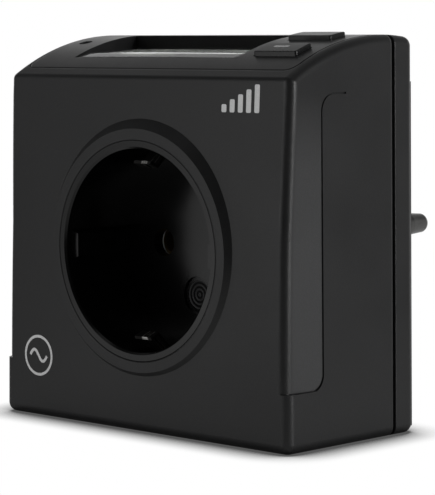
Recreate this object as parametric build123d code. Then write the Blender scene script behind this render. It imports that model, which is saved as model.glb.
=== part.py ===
from build123d import *
import os
from math import asin, atan, cos, pi, radians, sin, sqrt, tan

# Plug-in energy monitor, standing on its foot with the socket facing -Y.
# Lengths are in millimetres and angles in degrees. x runs from the socket's axis to the right, depth runs
# back from the front face's foot, and height runs up from the floor. The last step centres the part in depth.

# Body
body_width = 79.2
body_height = 77.9
side_lean = 0.645
face_radius = 1600.0
roof_radius = 53.0
roof_crest_inset = 0.8
housing_depth = 30.5
parting_gap = 0.8
cover_depth = 6.0
wall = 2.0
roof_wall = 3.0
post_root = 1.6
edge_round = 1.9
brow_round = 1.3
seam_clearance = 0.12
seat_clearance = 0.02
overrun = 2.0
quarter_turn = 90.0

# Grip recess on each side
grip_low = 11.4
grip_full_share = 0.5135
grip_top_drop = 10.9
grip_back = 10.0
grip_front_depth = 0.95
grip_back_depth = 0.12
grip_corner = 3.0
grip_poke = 0.004
grip_fade = 0.03
grip_sections = 3
groove_width = 0.35
groove_depth = 0.3
groove_tail = 7.0
groove_bend = 3.4

# Collar and socket
socket_height_share = 0.46085
bowl_radius = 20.0
bowl_depth = 17.5
bowl_lip = 0.4
bowl_floor = 2.4
cup_wall = 1.7
ring_width = 2.2
collar_rise = 0.7
collar_root = 2.0
sleeve_step = 0.5
sleeve_end = 3.6
flange_thickness = 1.6
rib_width = 5.9
rib_top_width = 4.6
rib_rise = 1.9
rib_start = 1.0
pin_spacing = 19.0
pin_hole_play = 0.4
mark_drop = 10.1
mark_radius = 3.8
mark_depth = 0.5

# Earth clip of the socket
clip_width = 4.6
clip_thickness = 0.6
clip_tip_depth = 1.4
clip_tip_reach = 2.7
clip_bulge_depth = 3.4
clip_bulge_reach = 3.5
clip_run_depth = 8.2
clip_run_set = 0.9
clip_slot_start = 1.0
clip_slot_margin = 0.35

# Screws
socket_screw_head_radius = 2.9
socket_screw_head = 1.2
socket_screw_radius = 1.2
socket_screw_length = 9.0
screw_clearance = 0.05
screw_hole_clearance = 0.3

# Contacts and carrier
contact_play = 0.05
contact_wall = 0.65
contact_slit = 0.6
contact_end_inset = 2.9
carrier_side_margin = 3.4
carrier_drop = 14.4
carrier_rise = 6.7
carrier_end_inset = 0.5
carrier_clearance = 0.1
strip_thickness = 0.8
strip_drop = 2.5
strip_rise = 3.5
strip_stand = 3.0

# Plug
plug_rise = 1.5
plug_boss_radius = 18.5
plug_boss_length = 20.5
plug_boss_round = 1.2
plug_wall = 1.6
plug_face_thickness = 4.0
plug_groove_width = 6.3
plug_groove_depth = 2.2
plug_channel_width = 6.0
plug_channel_depth = 1.7
plug_pin_radius = 2.4
plug_pin_length = 19.0
plug_pin_neck_set = 0.25
plug_pin_neck_show = 0.3
plug_pin_taper = 6.0
plug_pin_nose = 1.5
plug_pin_nose_set = 0.35
pin_tube_radius = 4.2
pin_tube_stand = 6.0
earth_leg_sink = 1.9
earth_hook = 0.9
earth_back_inset = 3.3

# Back
pad_rise = 0.7
pad_top_drop = 9.1
pad_inset = 1.2
pad_round = 0.3
plate_thickness = 2.2
lip_overlap = 1.8
lip_thickness = 1.2

# Pillars and housing screws
pillar_inset = 6.6
pillar_low = 7.2
pillar_drop = 14.85
pillar_radius = 3.6
pillar_end_inset = 4.5
pillar_gap = 0.3
housing_screw_radius = 1.45
housing_screw_head_radius = 2.5
housing_screw_head = 1.8
housing_screw_sink = 5.0
housing_screw_length = 17.0
counterbore_play = 0.25

# Main board
board_stand = 1.4
board_thickness = 1.6
board_side_inset = 11.0
board_low = 5.5
board_drop = 15.75
board_post_inset = 2.6
board_post_rise = 4.0
board_post_drop = 3.1
board_post_radius = 2.6
board_screw_radius = 1.05
board_screw_head_radius = 1.9
board_screw_head = 1.3
board_screw_length = 9.0
board_window_margin = 0.6

# Parts on the main board
part_gap = 0.7
part_room = 1.9
upper_row_rise = 5.6
dropper_height = 7.4
dropper_link_gap = 5.6
dropper_round = 0.6
smoothing_radius = 4.0
varistor_thickness = 3.6
varistor_leg_radius = 0.4
varistor_lift = 1.2
fuse_radius = 1.8
fuse_length = 11.0
fuse_inset = 3.0
fuse_drop = 1.9
fuse_lift = 0.6
fuse_lead_radius = 0.4
cell_length = 5.2
cell_gap = 0.1
cell_count = 3
cell_lift = 0.05
chip_width = 15.4
chip_height = 7.5
chip_thickness = 2.3
chip_leg_pitch = 1.27
chip_leg_width = 0.42
chip_leg_reach = 1.4
chip_leg_thickness = 0.25
chip_leg_count = 12
chip_lift = 0.15
ribbon_width = 15.0
ribbon_thickness = 0.6
ribbon_overlap = 3.8

# Roof panel and the tilted deck under it
panel_side_inset = 3.0
panel_front = 4.1
panel_back_inset = 2.2
panel_corner = 2.0
panel_thickness = 1.6
ledge_width = 0.9
deck_tilt = 6.3
window_sill = 0.0815
window_side_inset = 12.9
window_key_gap = 3.3
window_front = 8.4
window_back_inset = 2.3
tub_wall = 0.8
tub_floor = 1.0
lens_thickness = 1.0
lens_side_gap = 0.1
lens_back_gap = 0.35
view_margin = 3.4
view_front_margin = 2.0
glass_side_margin = 1.75
glass_length_margin = 1.6
glass_thickness = 2.2
glass_front = 0.9
holder_margin = 1.7
holder_front = 0.1
holder_clearance = 0.12
rubber_width = 2.2
rubber_side_margin = 1.7
rubber_inset = 0.9
rubber_height = 3.1
holder_rib = 1.2
display_board_side_inset = 4.6
display_board_front = -2.4
display_board_margin = 2.0
display_chip_radius = 4.5
display_chip_height = 1.3
display_chip_round = 0.9
display_chip_reach = 7.0

# Keys
key_inset = 12.05
key_width = 10.9
key_post_gap = 0.45
key_corner = 0.5
key_rise = 0.9
key_top_round = 0.25
front_key_share = 0.31405
rear_key_share = 0.71901
key_side_gap = 0.15
key_guide_wall = 0.9
guide_foot = -1.6
key_flange = 0.7
key_flange_reach_x = 0.8
key_flange_reach_y = 0.5
key_foot_radius = 1.5
stem_top = -2.9
stem_radius = 1.6
stem_length = 2.1
stem_clearance = 0.06
stem_travel_room = 0.8
switch_post_gap = 0.3
small_switch_size = 4.5
switch_height = 3.4
reset_inset = 6.9
reset_share = 0.54132
reset_hole_radius = 1.4
reset_play = 0.08
reset_sink = 0.6
reset_guide_wall = 1.2
reset_flange_reach = 0.7
post_radius = 1.6
left_post_inset = 8.6
left_post_front = 1.8
left_post_back = 15.6
display_screw_radius = 0.95
display_screw_head_radius = 1.7
display_screw_head = 1.2
display_screw_length = 5.4

# Depths worked out from the sizes above
cover_front = housing_depth + parting_gap
cover_back = cover_front + cover_depth
pad_back = cover_back + pad_rise
boss_end = pad_back + plug_boss_length
pin_tip = boss_end + plug_pin_length
bowl_end = bowl_depth - collar_rise
insert_end = bowl_end + bowl_floor
clip_back_depth = insert_end + clip_thickness / 2
carrier_start = insert_end + clip_thickness + seat_clearance
carrier_end = housing_depth - carrier_end_inset
contact_end = cover_back - contact_end_inset
strip_end = pad_back + strip_stand
pin_tube_start = pad_back + pin_tube_stand
earth_leg_end = boss_end - earth_leg_sink
earth_back_depth = cover_back - earth_back_inset
lip_start = housing_depth - lip_overlap
pillar_end = housing_depth - pillar_end_inset
housing_screw_seat = pad_back - housing_screw_sink
board_front = insert_end + board_stand
board_back = board_front + board_thickness
part_reach = cover_back - plate_thickness - board_back - part_room
panel_back = housing_depth - panel_back_inset
window_back = panel_back - window_back_inset
panel_length = panel_back - panel_front
front_key_depth = panel_front + panel_length * front_key_share
rear_key_depth = panel_front + panel_length * rear_key_share
reset_depth = panel_front + panel_length * reset_share
key_pitch = rear_key_depth - front_key_depth
key_length = key_pitch - 2 * (post_radius + key_flange_reach_y + key_post_gap)
switch_size = key_pitch - 2 * (post_radius + switch_post_gap)
roof_crest_depth = housing_depth - roof_crest_inset
centre_depth = (pin_tip - collar_rise) / 2

# Heights worked out from the sizes above
roof_centre_height = body_height - roof_radius
grip_full = body_height * grip_full_share
grip_top = body_height - grip_top_drop
socket_height = body_height * socket_height_share
plug_height = socket_height + plug_rise
mark_height = socket_height - mark_drop
carrier_low = socket_height - carrier_drop
carrier_high = socket_height + carrier_rise
strip_low = socket_height - strip_drop
strip_high = socket_height + strip_rise
pad_top = body_height - pad_top_drop
board_post_low = board_low + board_post_rise
upper_row_height = carrier_high + upper_row_rise
fuse_height = socket_height - fuse_drop
cell_height = (wall + lip_thickness + carrier_low) / 2
chip_middle_height = (board_low + carrier_low) / 2

# Widths and radii worked out from the sizes above
ring_inner_radius = bowl_radius + cup_wall
ring_outer_radius = ring_inner_radius + ring_width
sleeve_radius = ring_outer_radius + sleeve_step
insert_radius = ring_inner_radius - seam_clearance
clip_tip_radius = bowl_radius - clip_tip_reach
clip_bulge_radius = bowl_radius - clip_bulge_reach
clip_run_radius = bowl_radius + clip_run_set
pin_hole_radius = plug_pin_radius + pin_hole_play
contact_bore_radius = plug_pin_radius + contact_play
contact_radius = contact_bore_radius + contact_wall
contact_x = pin_spacing / 2
carrier_half = contact_x + contact_radius + carrier_side_margin
plug_cavity_radius = plug_boss_radius - plug_groove_depth - plug_wall
plug_pin_neck_radius = plug_pin_radius - plug_pin_neck_set
plug_pin_nose_radius = plug_pin_radius - plug_pin_nose_set
counterbore_radius = housing_screw_head_radius + counterbore_play
pillar_x = body_width / 2 - pillar_inset
board_half_width = body_width / 2 - board_side_inset
board_post_x = board_half_width - board_post_inset
row_end = board_post_x - board_screw_head_radius - part_gap
dropper_width = row_end - clip_width / 2 - dropper_link_gap
smoothing_x = row_end - varistor_thickness - part_gap - smoothing_radius
varistor_radius = part_reach / 2 - varistor_lift
cell_radius = part_reach / 2
cell_row_half = (cell_count * cell_length + (cell_count - 1) * cell_gap) / 2
panel_half_width = body_width / 2 - panel_side_inset
key_x = body_width / 2 - key_inset
reset_x = reset_inset - body_width / 2
left_post_x = left_post_inset - body_width / 2
reset_radius = reset_hole_radius - reset_play
reset_guide_radius = reset_hole_radius + reset_guide_wall
reset_flange_radius = reset_hole_radius + reset_flange_reach

# Window, glass and display board, in the deck's frame
window_left = window_side_inset - body_width / 2
window_right = key_x - key_width / 2 - window_key_gap
window_x = (window_left + window_right) / 2
display_chip_x = window_left + 2 * display_chip_radius
glass_width = window_right - window_left - 2 * glass_side_margin
glass_length = window_back - window_front - glass_length_margin
holder_width = glass_width + 2 * holder_margin
holder_length = glass_length + holder_margin
rubber_length = glass_width - 2 * rubber_side_margin
display_board_half_width = body_width / 2 - display_board_side_inset
display_board_back = glass_length + display_board_margin
lens_foot = -lens_thickness
tub_foot = lens_foot - tub_floor
glass_foot = tub_foot - glass_thickness
holder_foot = glass_foot - rubber_height
display_board_foot = holder_foot - board_thickness
side_signs = (-1, 1)


def side_x(height):
    """Half the body's width at a height."""
    return body_width / 2 - height * tan(radians(side_lean))


def face_depth(height):
    """Depth of the bulged front face at a height."""
    return face_radius - sqrt(face_radius**2 - height**2)


def roof_height(depth):
    """Height of the roof's surface at a depth."""
    return roof_centre_height + sqrt(roof_radius**2 - (depth - roof_crest_depth)**2)


deck_height = roof_height(window_front) - window_sill
pillar_high = deck_height - pillar_drop
board_high = deck_height - board_drop
board_post_high = board_high - board_post_drop
ribbon_low = board_high - ribbon_overlap
deck = Plane(
    origin=(0, window_front, deck_height),
    x_dir=(1, 0, 0),
    z_dir=(0, -sin(radians(deck_tilt)), cos(radians(deck_tilt))),
)


def deck_reach(depth, height):
    """How far up the tilted deck a point lies."""
    tilt = radians(deck_tilt)
    return (depth - window_front) * cos(tilt) + (height - deck_height) * sin(tilt)


def roof_reach(depth):
    """How far up the deck the roof's point at a depth lies."""
    return deck_reach(depth, roof_height(depth))


front_key_reach = roof_reach(front_key_depth)
rear_key_reach = roof_reach(rear_key_depth)
reset_reach = roof_reach(reset_depth)
window_reach = roof_reach(window_back)
post_places = (
    (left_post_x, left_post_front),
    (left_post_x, left_post_back),
    (key_x, (front_key_reach + rear_key_reach) / 2),
)


def slab(low, high):
    """Box between two opposite corners."""
    size = [b - a for a, b in zip(low, high)]
    centre = [(a + b) / 2 for a, b in zip(low, high)]
    return Pos(*centre) * Box(*size)


def rod(radius, start, end, x=0, height=0):
    """Cylinder that runs back from one depth to another."""
    return Pos(x, (start + end) / 2, height) * Rot(-quarter_turn, 0, 0) * Cylinder(radius, end - start)


def taper(start_radius, end_radius, start, end, x=0, height=0):
    """Cone that runs back from one depth to another."""
    return Pos(x, (start + end) / 2, height) * Rot(-quarter_turn, 0, 0) * Cone(start_radius, end_radius, end - start)


def across(radius, depth, height, length=2 * body_width, x=0):
    """Cylinder that lies along x."""
    return Pos(x, depth, height) * Rot(0, -quarter_turn, 0) * Cylinder(radius, length)


def deck_slab(low, high):
    """Box in the deck's own frame."""
    return deck * slab(low, high)


def deck_rod(radius, low, high, x, reach):
    """Cylinder that stands square on the deck."""
    return deck * Pos(x, reach, (low + high) / 2) * Cylinder(radius, high - low)


def deck_key(width, length, corner, low, high, x, reach):
    """Rounded block that stands square on the deck."""
    outline = RectangleRounded(width, length, corner)
    return deck * Pos(x, reach, low) * extrude(outline, amount=high - low)


def roof_form(sink):
    """Everything under the roof's surface when it is sunk by an amount."""
    return across(roof_radius - sink, roof_crest_depth, roof_centre_height)


def body_block(start, end, inset, roof_inset):
    """Body between two depths, drawn in from the outside, with sharp edges."""
    foot = side_x(inset) - inset
    top = side_x(body_height) - inset
    corners = [(-foot, inset), (foot, inset), (top, body_height), (-top, body_height)]
    outline = make_face(Polyline(*corners, close=True))
    prism = extrude(Plane.XZ.offset(-end) * outline, amount=end - start)
    return prism & roof_form(roof_inset) & across(face_radius - inset, face_radius, 0)


def side_plane():
    """Frame on the right side: depth, then up the side, then outwards."""
    lean = radians(side_lean)
    return Plane(origin=(body_width / 2, 0, 0), x_dir=(0, 1, 0), z_dir=(cos(lean), 0, sin(lean)))


def grip_section(height, front, back, sink=0):
    """Cut of the grip recess at one height, with the housing's edge round carried along it."""
    slope = (front - back) / grip_back
    turn = atan(slope)
    arc_depth = face_depth(height) - grip_poke + edge_round
    centre_out = -(front - slope * arc_depth) - edge_round / cos(turn)
    plane = side_plane()

    def place(depth, out):
        return plane.from_local_coords((depth, height, out - sink))

    def on_arc(angle):
        return place(arc_depth + edge_round * cos(angle), centre_out + edge_round * sin(angle))

    start = on_arc(pi / 2 + turn)
    middle = on_arc((3 * pi / 2 + turn) / 2)
    end = on_arc(pi)
    corners = [
        end,
        place(-overrun, centre_out),
        place(-overrun, overrun + sink),
        place(grip_back, overrun + sink),
        place(grip_back, -back),
        start,
    ]
    return make_face(Polyline(*corners) + ThreePointArc(start, middle, end))


def grip_recess(sink=0):
    """Wedge cut at the front of the right side: even below, fading out above."""
    lower = []
    upper = []
    for step in range(grip_sections + 1):
        share = step / grip_sections
        height = grip_low + (grip_full - grip_low) * share
        lower.append(grip_section(height, grip_front_depth, grip_back_depth, sink))
        height = grip_full + (grip_top - grip_full) * share
        front = grip_front_depth * (1 - share) - grip_fade * share
        back = grip_back_depth * (1 - share) - grip_fade * share
        upper.append(grip_section(height, front, back, sink))
    return loft(lower), loft(upper)


def grip_outline():
    """Side view of the grip recess, with its round corner low at the back."""
    outline = Polyline(
        (-overrun, grip_low),
        (grip_back, grip_low),
        (grip_back, grip_top + overrun),
        (-overrun, grip_top + overrun),
        close=True,
    )
    face = make_face(outline)
    corner = face.vertices().sort_by_distance(Vector(grip_back, grip_low, 0))[0]
    return fillet(corner, grip_corner)


def groove_band():
    """Side view of the thin groove round the grip recess."""
    low_line = Line((-overrun, grip_low), (grip_back - grip_corner, grip_low))
    corner = JernArc(start=low_line @ 1, tangent=(1, 0), radius=grip_corner, arc_size=quarter_turn)
    rear_line = Line(corner @ 1, (grip_back, grip_top - groove_bend))
    bend = JernArc(start=rear_line @ 1, tangent=(0, 1), radius=groove_bend, arc_size=-quarter_turn)
    tail = Line(bend @ 1, (grip_back + groove_tail, grip_top))
    return trace(low_line + corner + rear_line + bend + tail, line_width=groove_width)


def groove_cutter():
    """Groove that follows the recess's floor and then runs out on the plain side."""
    band = extrude(side_plane() * groove_band(), amount=overrun, both=True)
    lower, upper = grip_recess(groove_depth)
    rear = side_plane() * slab(
        (grip_back, grip_low - overrun, -groove_depth),
        (grip_back + groove_tail + overrun, grip_top + overrun, overrun),
    )
    return [band & lower, band & upper, band & rear]


def outer_edges(block):
    """Edges that get the large round: front uprights, foot, back and the roof's sides."""
    chosen = []
    for edge in block.edges():
        middle = edge.center()
        foot = middle.Z < seat_clearance
        back = middle.Y > cover_back - seat_clearance
        beside = abs(middle.X) > side_x(body_height) - wall
        if foot or back or beside:
            chosen.append(edge)
    return chosen


def brow_edges(block):
    """The roof's front edge."""
    upper = [e for e in block.edges() if abs(e.center().X) < wall and e.center().Z > socket_height]
    return ShapeList(upper).sort_by(Axis.Y)[:1]


def outer_form():
    """Whole outside of the meter, closed and solid, with its rounds and grip recesses."""
    block = body_block(0, cover_back, 0, 0)
    block = fillet(outer_edges(block), edge_round)
    block = fillet(brow_edges(block), brow_round)
    half = block & slab((0, -overrun, -overrun), (body_width, cover_back + overrun, body_height + overrun))
    outline = extrude(side_plane() * grip_outline(), amount=overrun + grip_front_depth, both=True)
    for piece in grip_recess():
        half = half - (piece & outline)
    for piece in groove_cutter():
        half = half - piece
    return half + mirror(half, about=Plane.YZ)


def slice_of(form, start, end):
    """The stretch of a form between two depths."""
    reach = body_width
    return form & slab((-reach, start, -reach), (reach, end, 2 * reach))


def panel_prism(margin, floor=0):
    """Upright block over the panel's plan, grown by a margin."""
    width = 2 * (panel_half_width + margin)
    length = panel_back - panel_front + 2 * margin
    outline = RectangleRounded(width, length, panel_corner + max(margin, -panel_corner / 2))
    middle = (panel_front + panel_back) / 2
    return Pos(0, middle, floor) * extrude(outline, amount=2 * body_height)


def pillar_places():
    """Corners where the housing screws stand: x and height."""
    return [(sign * pillar_x, height) for sign in side_signs for height in (pillar_low, pillar_high)]


def board_post_places():
    """Places of the main board's posts: x and height."""
    return [(sign * board_post_x, height) for sign in side_signs for height in (board_post_low, board_post_high)]


def make_front_housing(form):
    shell = slice_of(form, -overrun, housing_depth)
    shell = shell - body_block(0, housing_depth + overrun, wall, roof_wall)
    cone_spread = collar_root + collar_rise
    shell = shell + taper(
        ring_outer_radius, ring_outer_radius + cone_spread, -collar_rise, collar_root, height=socket_height
    )
    shell = shell + rod(sleeve_radius, collar_root, sleeve_end, height=socket_height)
    for x, height in pillar_places():
        shell = shell + rod(pillar_radius, post_root, pillar_end, x, height)
    for x, height in board_post_places():
        shell = shell + rod(board_post_radius, post_root, board_front, x, height)
    shell = shell - rod(ring_inner_radius, -collar_rise - overrun, sleeve_end + overrun, height=socket_height)
    flange_room = rod(
        sleeve_radius + seam_clearance, sleeve_end, sleeve_end + flange_thickness + overrun, height=socket_height
    )
    shell = shell - flange_room
    for x, height in pillar_places():
        pilot_start = housing_screw_seat - housing_screw_length - screw_hole_clearance
        shell = shell - rod(
            housing_screw_radius + screw_clearance, pilot_start, pillar_end + overrun, x, height
        )
    for x, height in board_post_places():
        pilot_start = board_back - board_screw_length - screw_hole_clearance
        shell = shell - rod(board_screw_radius + screw_clearance, pilot_start, board_front + overrun, x, height)
    pocket = panel_prism(seam_clearance, socket_height) - roof_form(panel_thickness + seat_clearance)
    opening = panel_prism(seam_clearance - ledge_width, pillar_high + 2 * pillar_radius)
    return shell - pocket - opening


def plug_outline(radius):
    """Plug boss seen from behind, with its side grooves and earth channels."""
    disc = Circle(radius)
    side = Rectangle(plug_groove_depth * 2, plug_groove_width)
    channel = Rectangle(plug_channel_width, plug_channel_depth * 2)
    for sign in side_signs:
        disc = disc - Pos(sign * radius, 0) * side
        disc = disc - Pos(0, sign * radius) * channel
    return disc


def make_rear_cover(form):
    cover = slice_of(form, cover_front, cover_back + overrun)
    lip_inset = wall + seam_clearance
    lip_roof = roof_wall + seam_clearance
    cover = cover + body_block(lip_start, cover_front + wall, lip_inset, lip_roof)
    pad_foot = side_x(pad_inset) - pad_inset
    pad_head = side_x(pad_top) - pad_inset
    corners = [(-pad_foot, pad_inset), (pad_foot, pad_inset), (pad_head, pad_top), (-pad_head, pad_top)]
    pad = extrude(Plane.XZ.offset(-pad_back) * make_face(Polyline(*corners, close=True)), amount=pad_rise * 2)
    pad_edges = [e for e in pad.edges() if e.center().Y > pad_back - seat_clearance]
    pad = fillet(pad_edges, pad_round)
    boss_plane = Plane.XZ.offset(-boss_end)
    boss = extrude(
        boss_plane * Pos(0, plug_height) * plug_outline(plug_boss_radius), amount=boss_end - cover_back + wall / 2
    )
    face_edges = [e for e in boss.edges() if e.center().Y > boss_end - seat_clearance]
    boss = chamfer(face_edges, plug_boss_round / 2)
    cover = cover + pad + boss
    for x, height in pillar_places():
        cover = cover + rod(pillar_radius, pillar_end + pillar_gap, cover_back - wall / 2, x, height)
    hollow_inset = lip_inset + lip_thickness
    hollow = body_block(lip_start - overrun, cover_back - plate_thickness, hollow_inset, lip_roof + lip_thickness)
    for x, height in pillar_places():
        hollow = hollow - rod(pillar_radius, lip_start - 2 * overrun, cover_back, x, height)
    cover = cover - hollow
    cavity = rod(
        plug_cavity_radius, cover_back - plate_thickness - overrun, boss_end - plug_face_thickness,
        height=plug_height,
    )
    for sign in side_signs:
        cavity = cavity - rod(pin_tube_radius, pin_tube_start, boss_end, sign * contact_x, plug_height)
    cover = cover - cavity
    for sign in side_signs:
        hole = plug_pin_neck_radius + screw_clearance
        cover = cover - rod(hole, pin_tube_start - overrun, boss_end + overrun, sign * contact_x, plug_height)
        cover = cover - strip_passage(sign)
        slot_out = earth_leg_radius() + clip_thickness / 2 + clip_slot_margin
        slot_in = earth_leg_radius() - clip_thickness / 2 - clip_slot_margin
        slot_half = clip_width / 2 + clip_slot_margin
        low, high = sorted((plug_height + sign * slot_in, plug_height + sign * slot_out))
        cover = cover - slab(
            (-slot_half, earth_back_depth - overrun, low), (slot_half, pad_back + overrun, high)
        )
        low, high = sorted((plug_height + sign * (slot_in - earth_hook), plug_height + sign * slot_out))
        cover = cover - slab(
            (-slot_half, earth_leg_end - 2 * earth_hook, low),
            (slot_half, earth_leg_end + clip_slot_margin, high),
        )
    for x, height in pillar_places():
        shank_hole = housing_screw_radius + screw_hole_clearance
        cover = cover - rod(shank_hole, pillar_end - overrun, housing_screw_seat + overrun, x, height)
        cover = cover - rod(counterbore_radius, housing_screw_seat, pad_back + overrun, x, height)
    return cover


def strip_passage(sign):
    """Way through the cover for the strip to a plug pin; sign picks the side."""
    reach = strip_reach() + clip_slot_margin
    low, high = sorted((sign * (contact_x - plug_pin_radius - clip_slot_margin), sign * reach))
    return slab(
        (low, cover_front, strip_low - clip_slot_margin),
        (high, strip_end + clip_slot_margin, strip_high + clip_slot_margin),
    )


def strip_reach():
    """Outer side of the strips to the plug pins."""
    return contact_x + contact_radius + seat_clearance + strip_thickness


def earth_leg_radius():
    """Height of the plug's earth legs over the plug's axis."""
    return plug_boss_radius - plug_channel_depth + clip_thickness / 2


def window_block(margin, low, high):
    """Block over the window's plan in the deck's frame, grown by a margin."""
    return deck_slab(
        (window_left - margin, -margin, low),
        (window_right + margin, window_reach + margin, high),
    )


def make_top_panel():
    skin = panel_prism(0, socket_height) & roof_form(0)
    high = roof_wall * 2
    inside = roof_form(panel_thickness / 2)
    plate = skin - roof_form(panel_thickness)
    plate = plate + (window_block(tub_wall, tub_foot, high) & roof_form(0))
    for reach in (front_key_reach, rear_key_reach):
        grow = 2 * (key_side_gap + key_guide_wall)
        guide = deck_key(key_width + grow, key_length + grow, key_corner, guide_foot, high, key_x, reach)
        plate = plate + (guide & inside)
    plate = plate + (deck_rod(reset_guide_radius, guide_foot, high, reset_x, reset_reach) & inside)
    for x, reach in post_places:
        plate = plate + (deck_rod(post_radius, holder_foot, high, x, reach) & inside)
    plate = plate - window_block(0, lens_foot, high)
    view_half = (window_right - window_left) / 2 - view_margin
    plate = plate - deck_slab(
        (window_x - view_half, view_front_margin, tub_foot - overrun),
        (window_x + view_half, window_reach - view_front_margin, 0),
    )
    for reach in (front_key_reach, rear_key_reach):
        gap = 2 * key_side_gap
        plate = plate - deck_key(
            key_width + gap, key_length + gap, key_corner, guide_foot - overrun, high, key_x, reach
        )
    plate = plate - deck_rod(reset_hole_radius, guide_foot - overrun, high, reset_x, reset_reach)
    for x, reach in post_places:
        pilot_top = display_board_foot + display_screw_length + screw_hole_clearance
        plate = plate - deck_rod(
            display_screw_radius + screw_clearance, holder_foot - overrun, pilot_top, x, reach
        )
    return plate


def make_display_lens():
    return deck_slab(
        (window_left + lens_side_gap, lens_side_gap, lens_foot),
        (window_right - lens_side_gap, window_reach - lens_back_gap, 0),
    )


def glass_block(margin, low, high):
    """Block over the display glass's plan, grown by a margin."""
    half = glass_width / 2 + margin
    return deck_slab(
        (window_x - half, glass_front - margin, low),
        (window_x + half, glass_front + glass_length + margin, high),
    )


def make_lcd_glass():
    return glass_block(0, glass_foot, tub_foot)


def rubber_block(index, margin, low, high):
    """Block over one contact strip's plan: 0 is the front strip and 1 the rear one."""
    span = glass_length - 2 * rubber_inset - rubber_width
    front = glass_front + rubber_inset + index * span
    half = rubber_length / 2 + margin
    return deck_slab(
        (window_x - half, front - margin, low),
        (window_x + half, front + rubber_width + margin, high),
    )


def make_lcd_holder():
    half = holder_width / 2
    frame = deck_slab(
        (window_x - half, holder_front, holder_foot),
        (window_x + half, holder_front + holder_length, tub_foot),
    )
    frame = frame - glass_block(holder_clearance, glass_foot, tub_foot + overrun)
    for index in range(2):
        frame = frame - rubber_block(index, holder_clearance, holder_foot - overrun, glass_foot + overrun)
    open_front = glass_front + rubber_inset + rubber_width + holder_rib
    open_back = glass_front + glass_length - rubber_inset - rubber_width - holder_rib
    open_half = rubber_length / 2
    return frame - deck_slab(
        (window_x - open_half, open_front, holder_foot - overrun),
        (window_x + open_half, open_back, tub_foot),
    )


def make_zebra_strips():
    return Compound([rubber_block(index, 0, holder_foot, glass_foot) for index in range(2)])


def make_display_board():
    board = deck_slab(
        (-display_board_half_width, display_board_front, display_board_foot),
        (display_board_half_width, display_board_back, holder_foot),
    )
    for x, reach in post_places:
        hole = display_screw_radius + screw_hole_clearance
        board = board - deck_rod(hole, display_board_foot - overrun, holder_foot + overrun, x, reach)
    return board


def make_display_chip():
    cap = deck_rod(
        display_chip_radius,
        display_board_foot - display_chip_height,
        display_board_foot,
        display_chip_x,
        display_chip_reach,
    )
    low_edge = cap.edges().sort_by(Axis.Z)[0]
    return fillet(low_edge, display_chip_round)


def make_display_screws():
    screws = []
    for x, reach in post_places:
        head = deck_rod(
            display_screw_head_radius, display_board_foot - display_screw_head, display_board_foot, x, reach
        )
        shank = deck_rod(
            display_screw_radius, display_board_foot, display_board_foot + display_screw_length, x, reach
        )
        screws.append((head + shank).solid())
    return Compound(screws)


def switch_places():
    """Each switch's x, reach up the deck and width."""
    return [
        (key_x, front_key_reach, switch_size),
        (key_x, rear_key_reach, switch_size),
        (reset_x, reset_reach, small_switch_size),
    ]


def make_tact_switches():
    switches = []
    for x, reach, size in switch_places():
        half = size / 2
        body = deck_slab(
            (x - half, reach - half, holder_foot), (x + half, reach + half, holder_foot + switch_height)
        )
        well_foot = stem_top - stem_length - stem_travel_room
        well = deck_rod(stem_radius + stem_clearance, well_foot, stem_top + overrun, x, reach)
        switches.append((body - well).solid())
    return Compound(switches)


def make_stem(x, reach):
    return deck_rod(stem_radius, stem_top - stem_length, stem_top, x, reach)


def flange_high():
    """Top of the keys' flanges, just under the guides."""
    return guide_foot - seat_clearance


def make_key(reach):
    """Key cap with its flange under the panel and the foot that rests on the switch."""
    cap = deck_key(key_width, key_length, key_corner, flange_high(), roof_wall * 2, key_x, reach)
    cap = cap & roof_form(-key_rise)
    top_edges = cap.faces().sort_by(Axis.Z)[-1].edges()
    cap = fillet(top_edges, key_top_round)
    flange = deck_key(
        key_width + 2 * key_flange_reach_x,
        key_length + 2 * key_flange_reach_y,
        key_corner,
        flange_high() - key_flange,
        flange_high(),
        key_x,
        reach,
    )
    foot = deck_rod(key_foot_radius, stem_top, flange_high() - key_flange, key_x, reach)
    return cap + flange + foot


def make_reset_key():
    plunger = deck_rod(reset_radius, flange_high(), roof_wall * 2, reset_x, reset_reach)
    plunger = plunger & roof_form(reset_sink)
    flange = deck_rod(reset_flange_radius, flange_high() - key_flange, flange_high(), reset_x, reset_reach)
    foot = deck_rod(key_foot_radius, stem_top, flange_high() - key_flange, reset_x, reset_reach)
    return plunger + flange + foot


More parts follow.
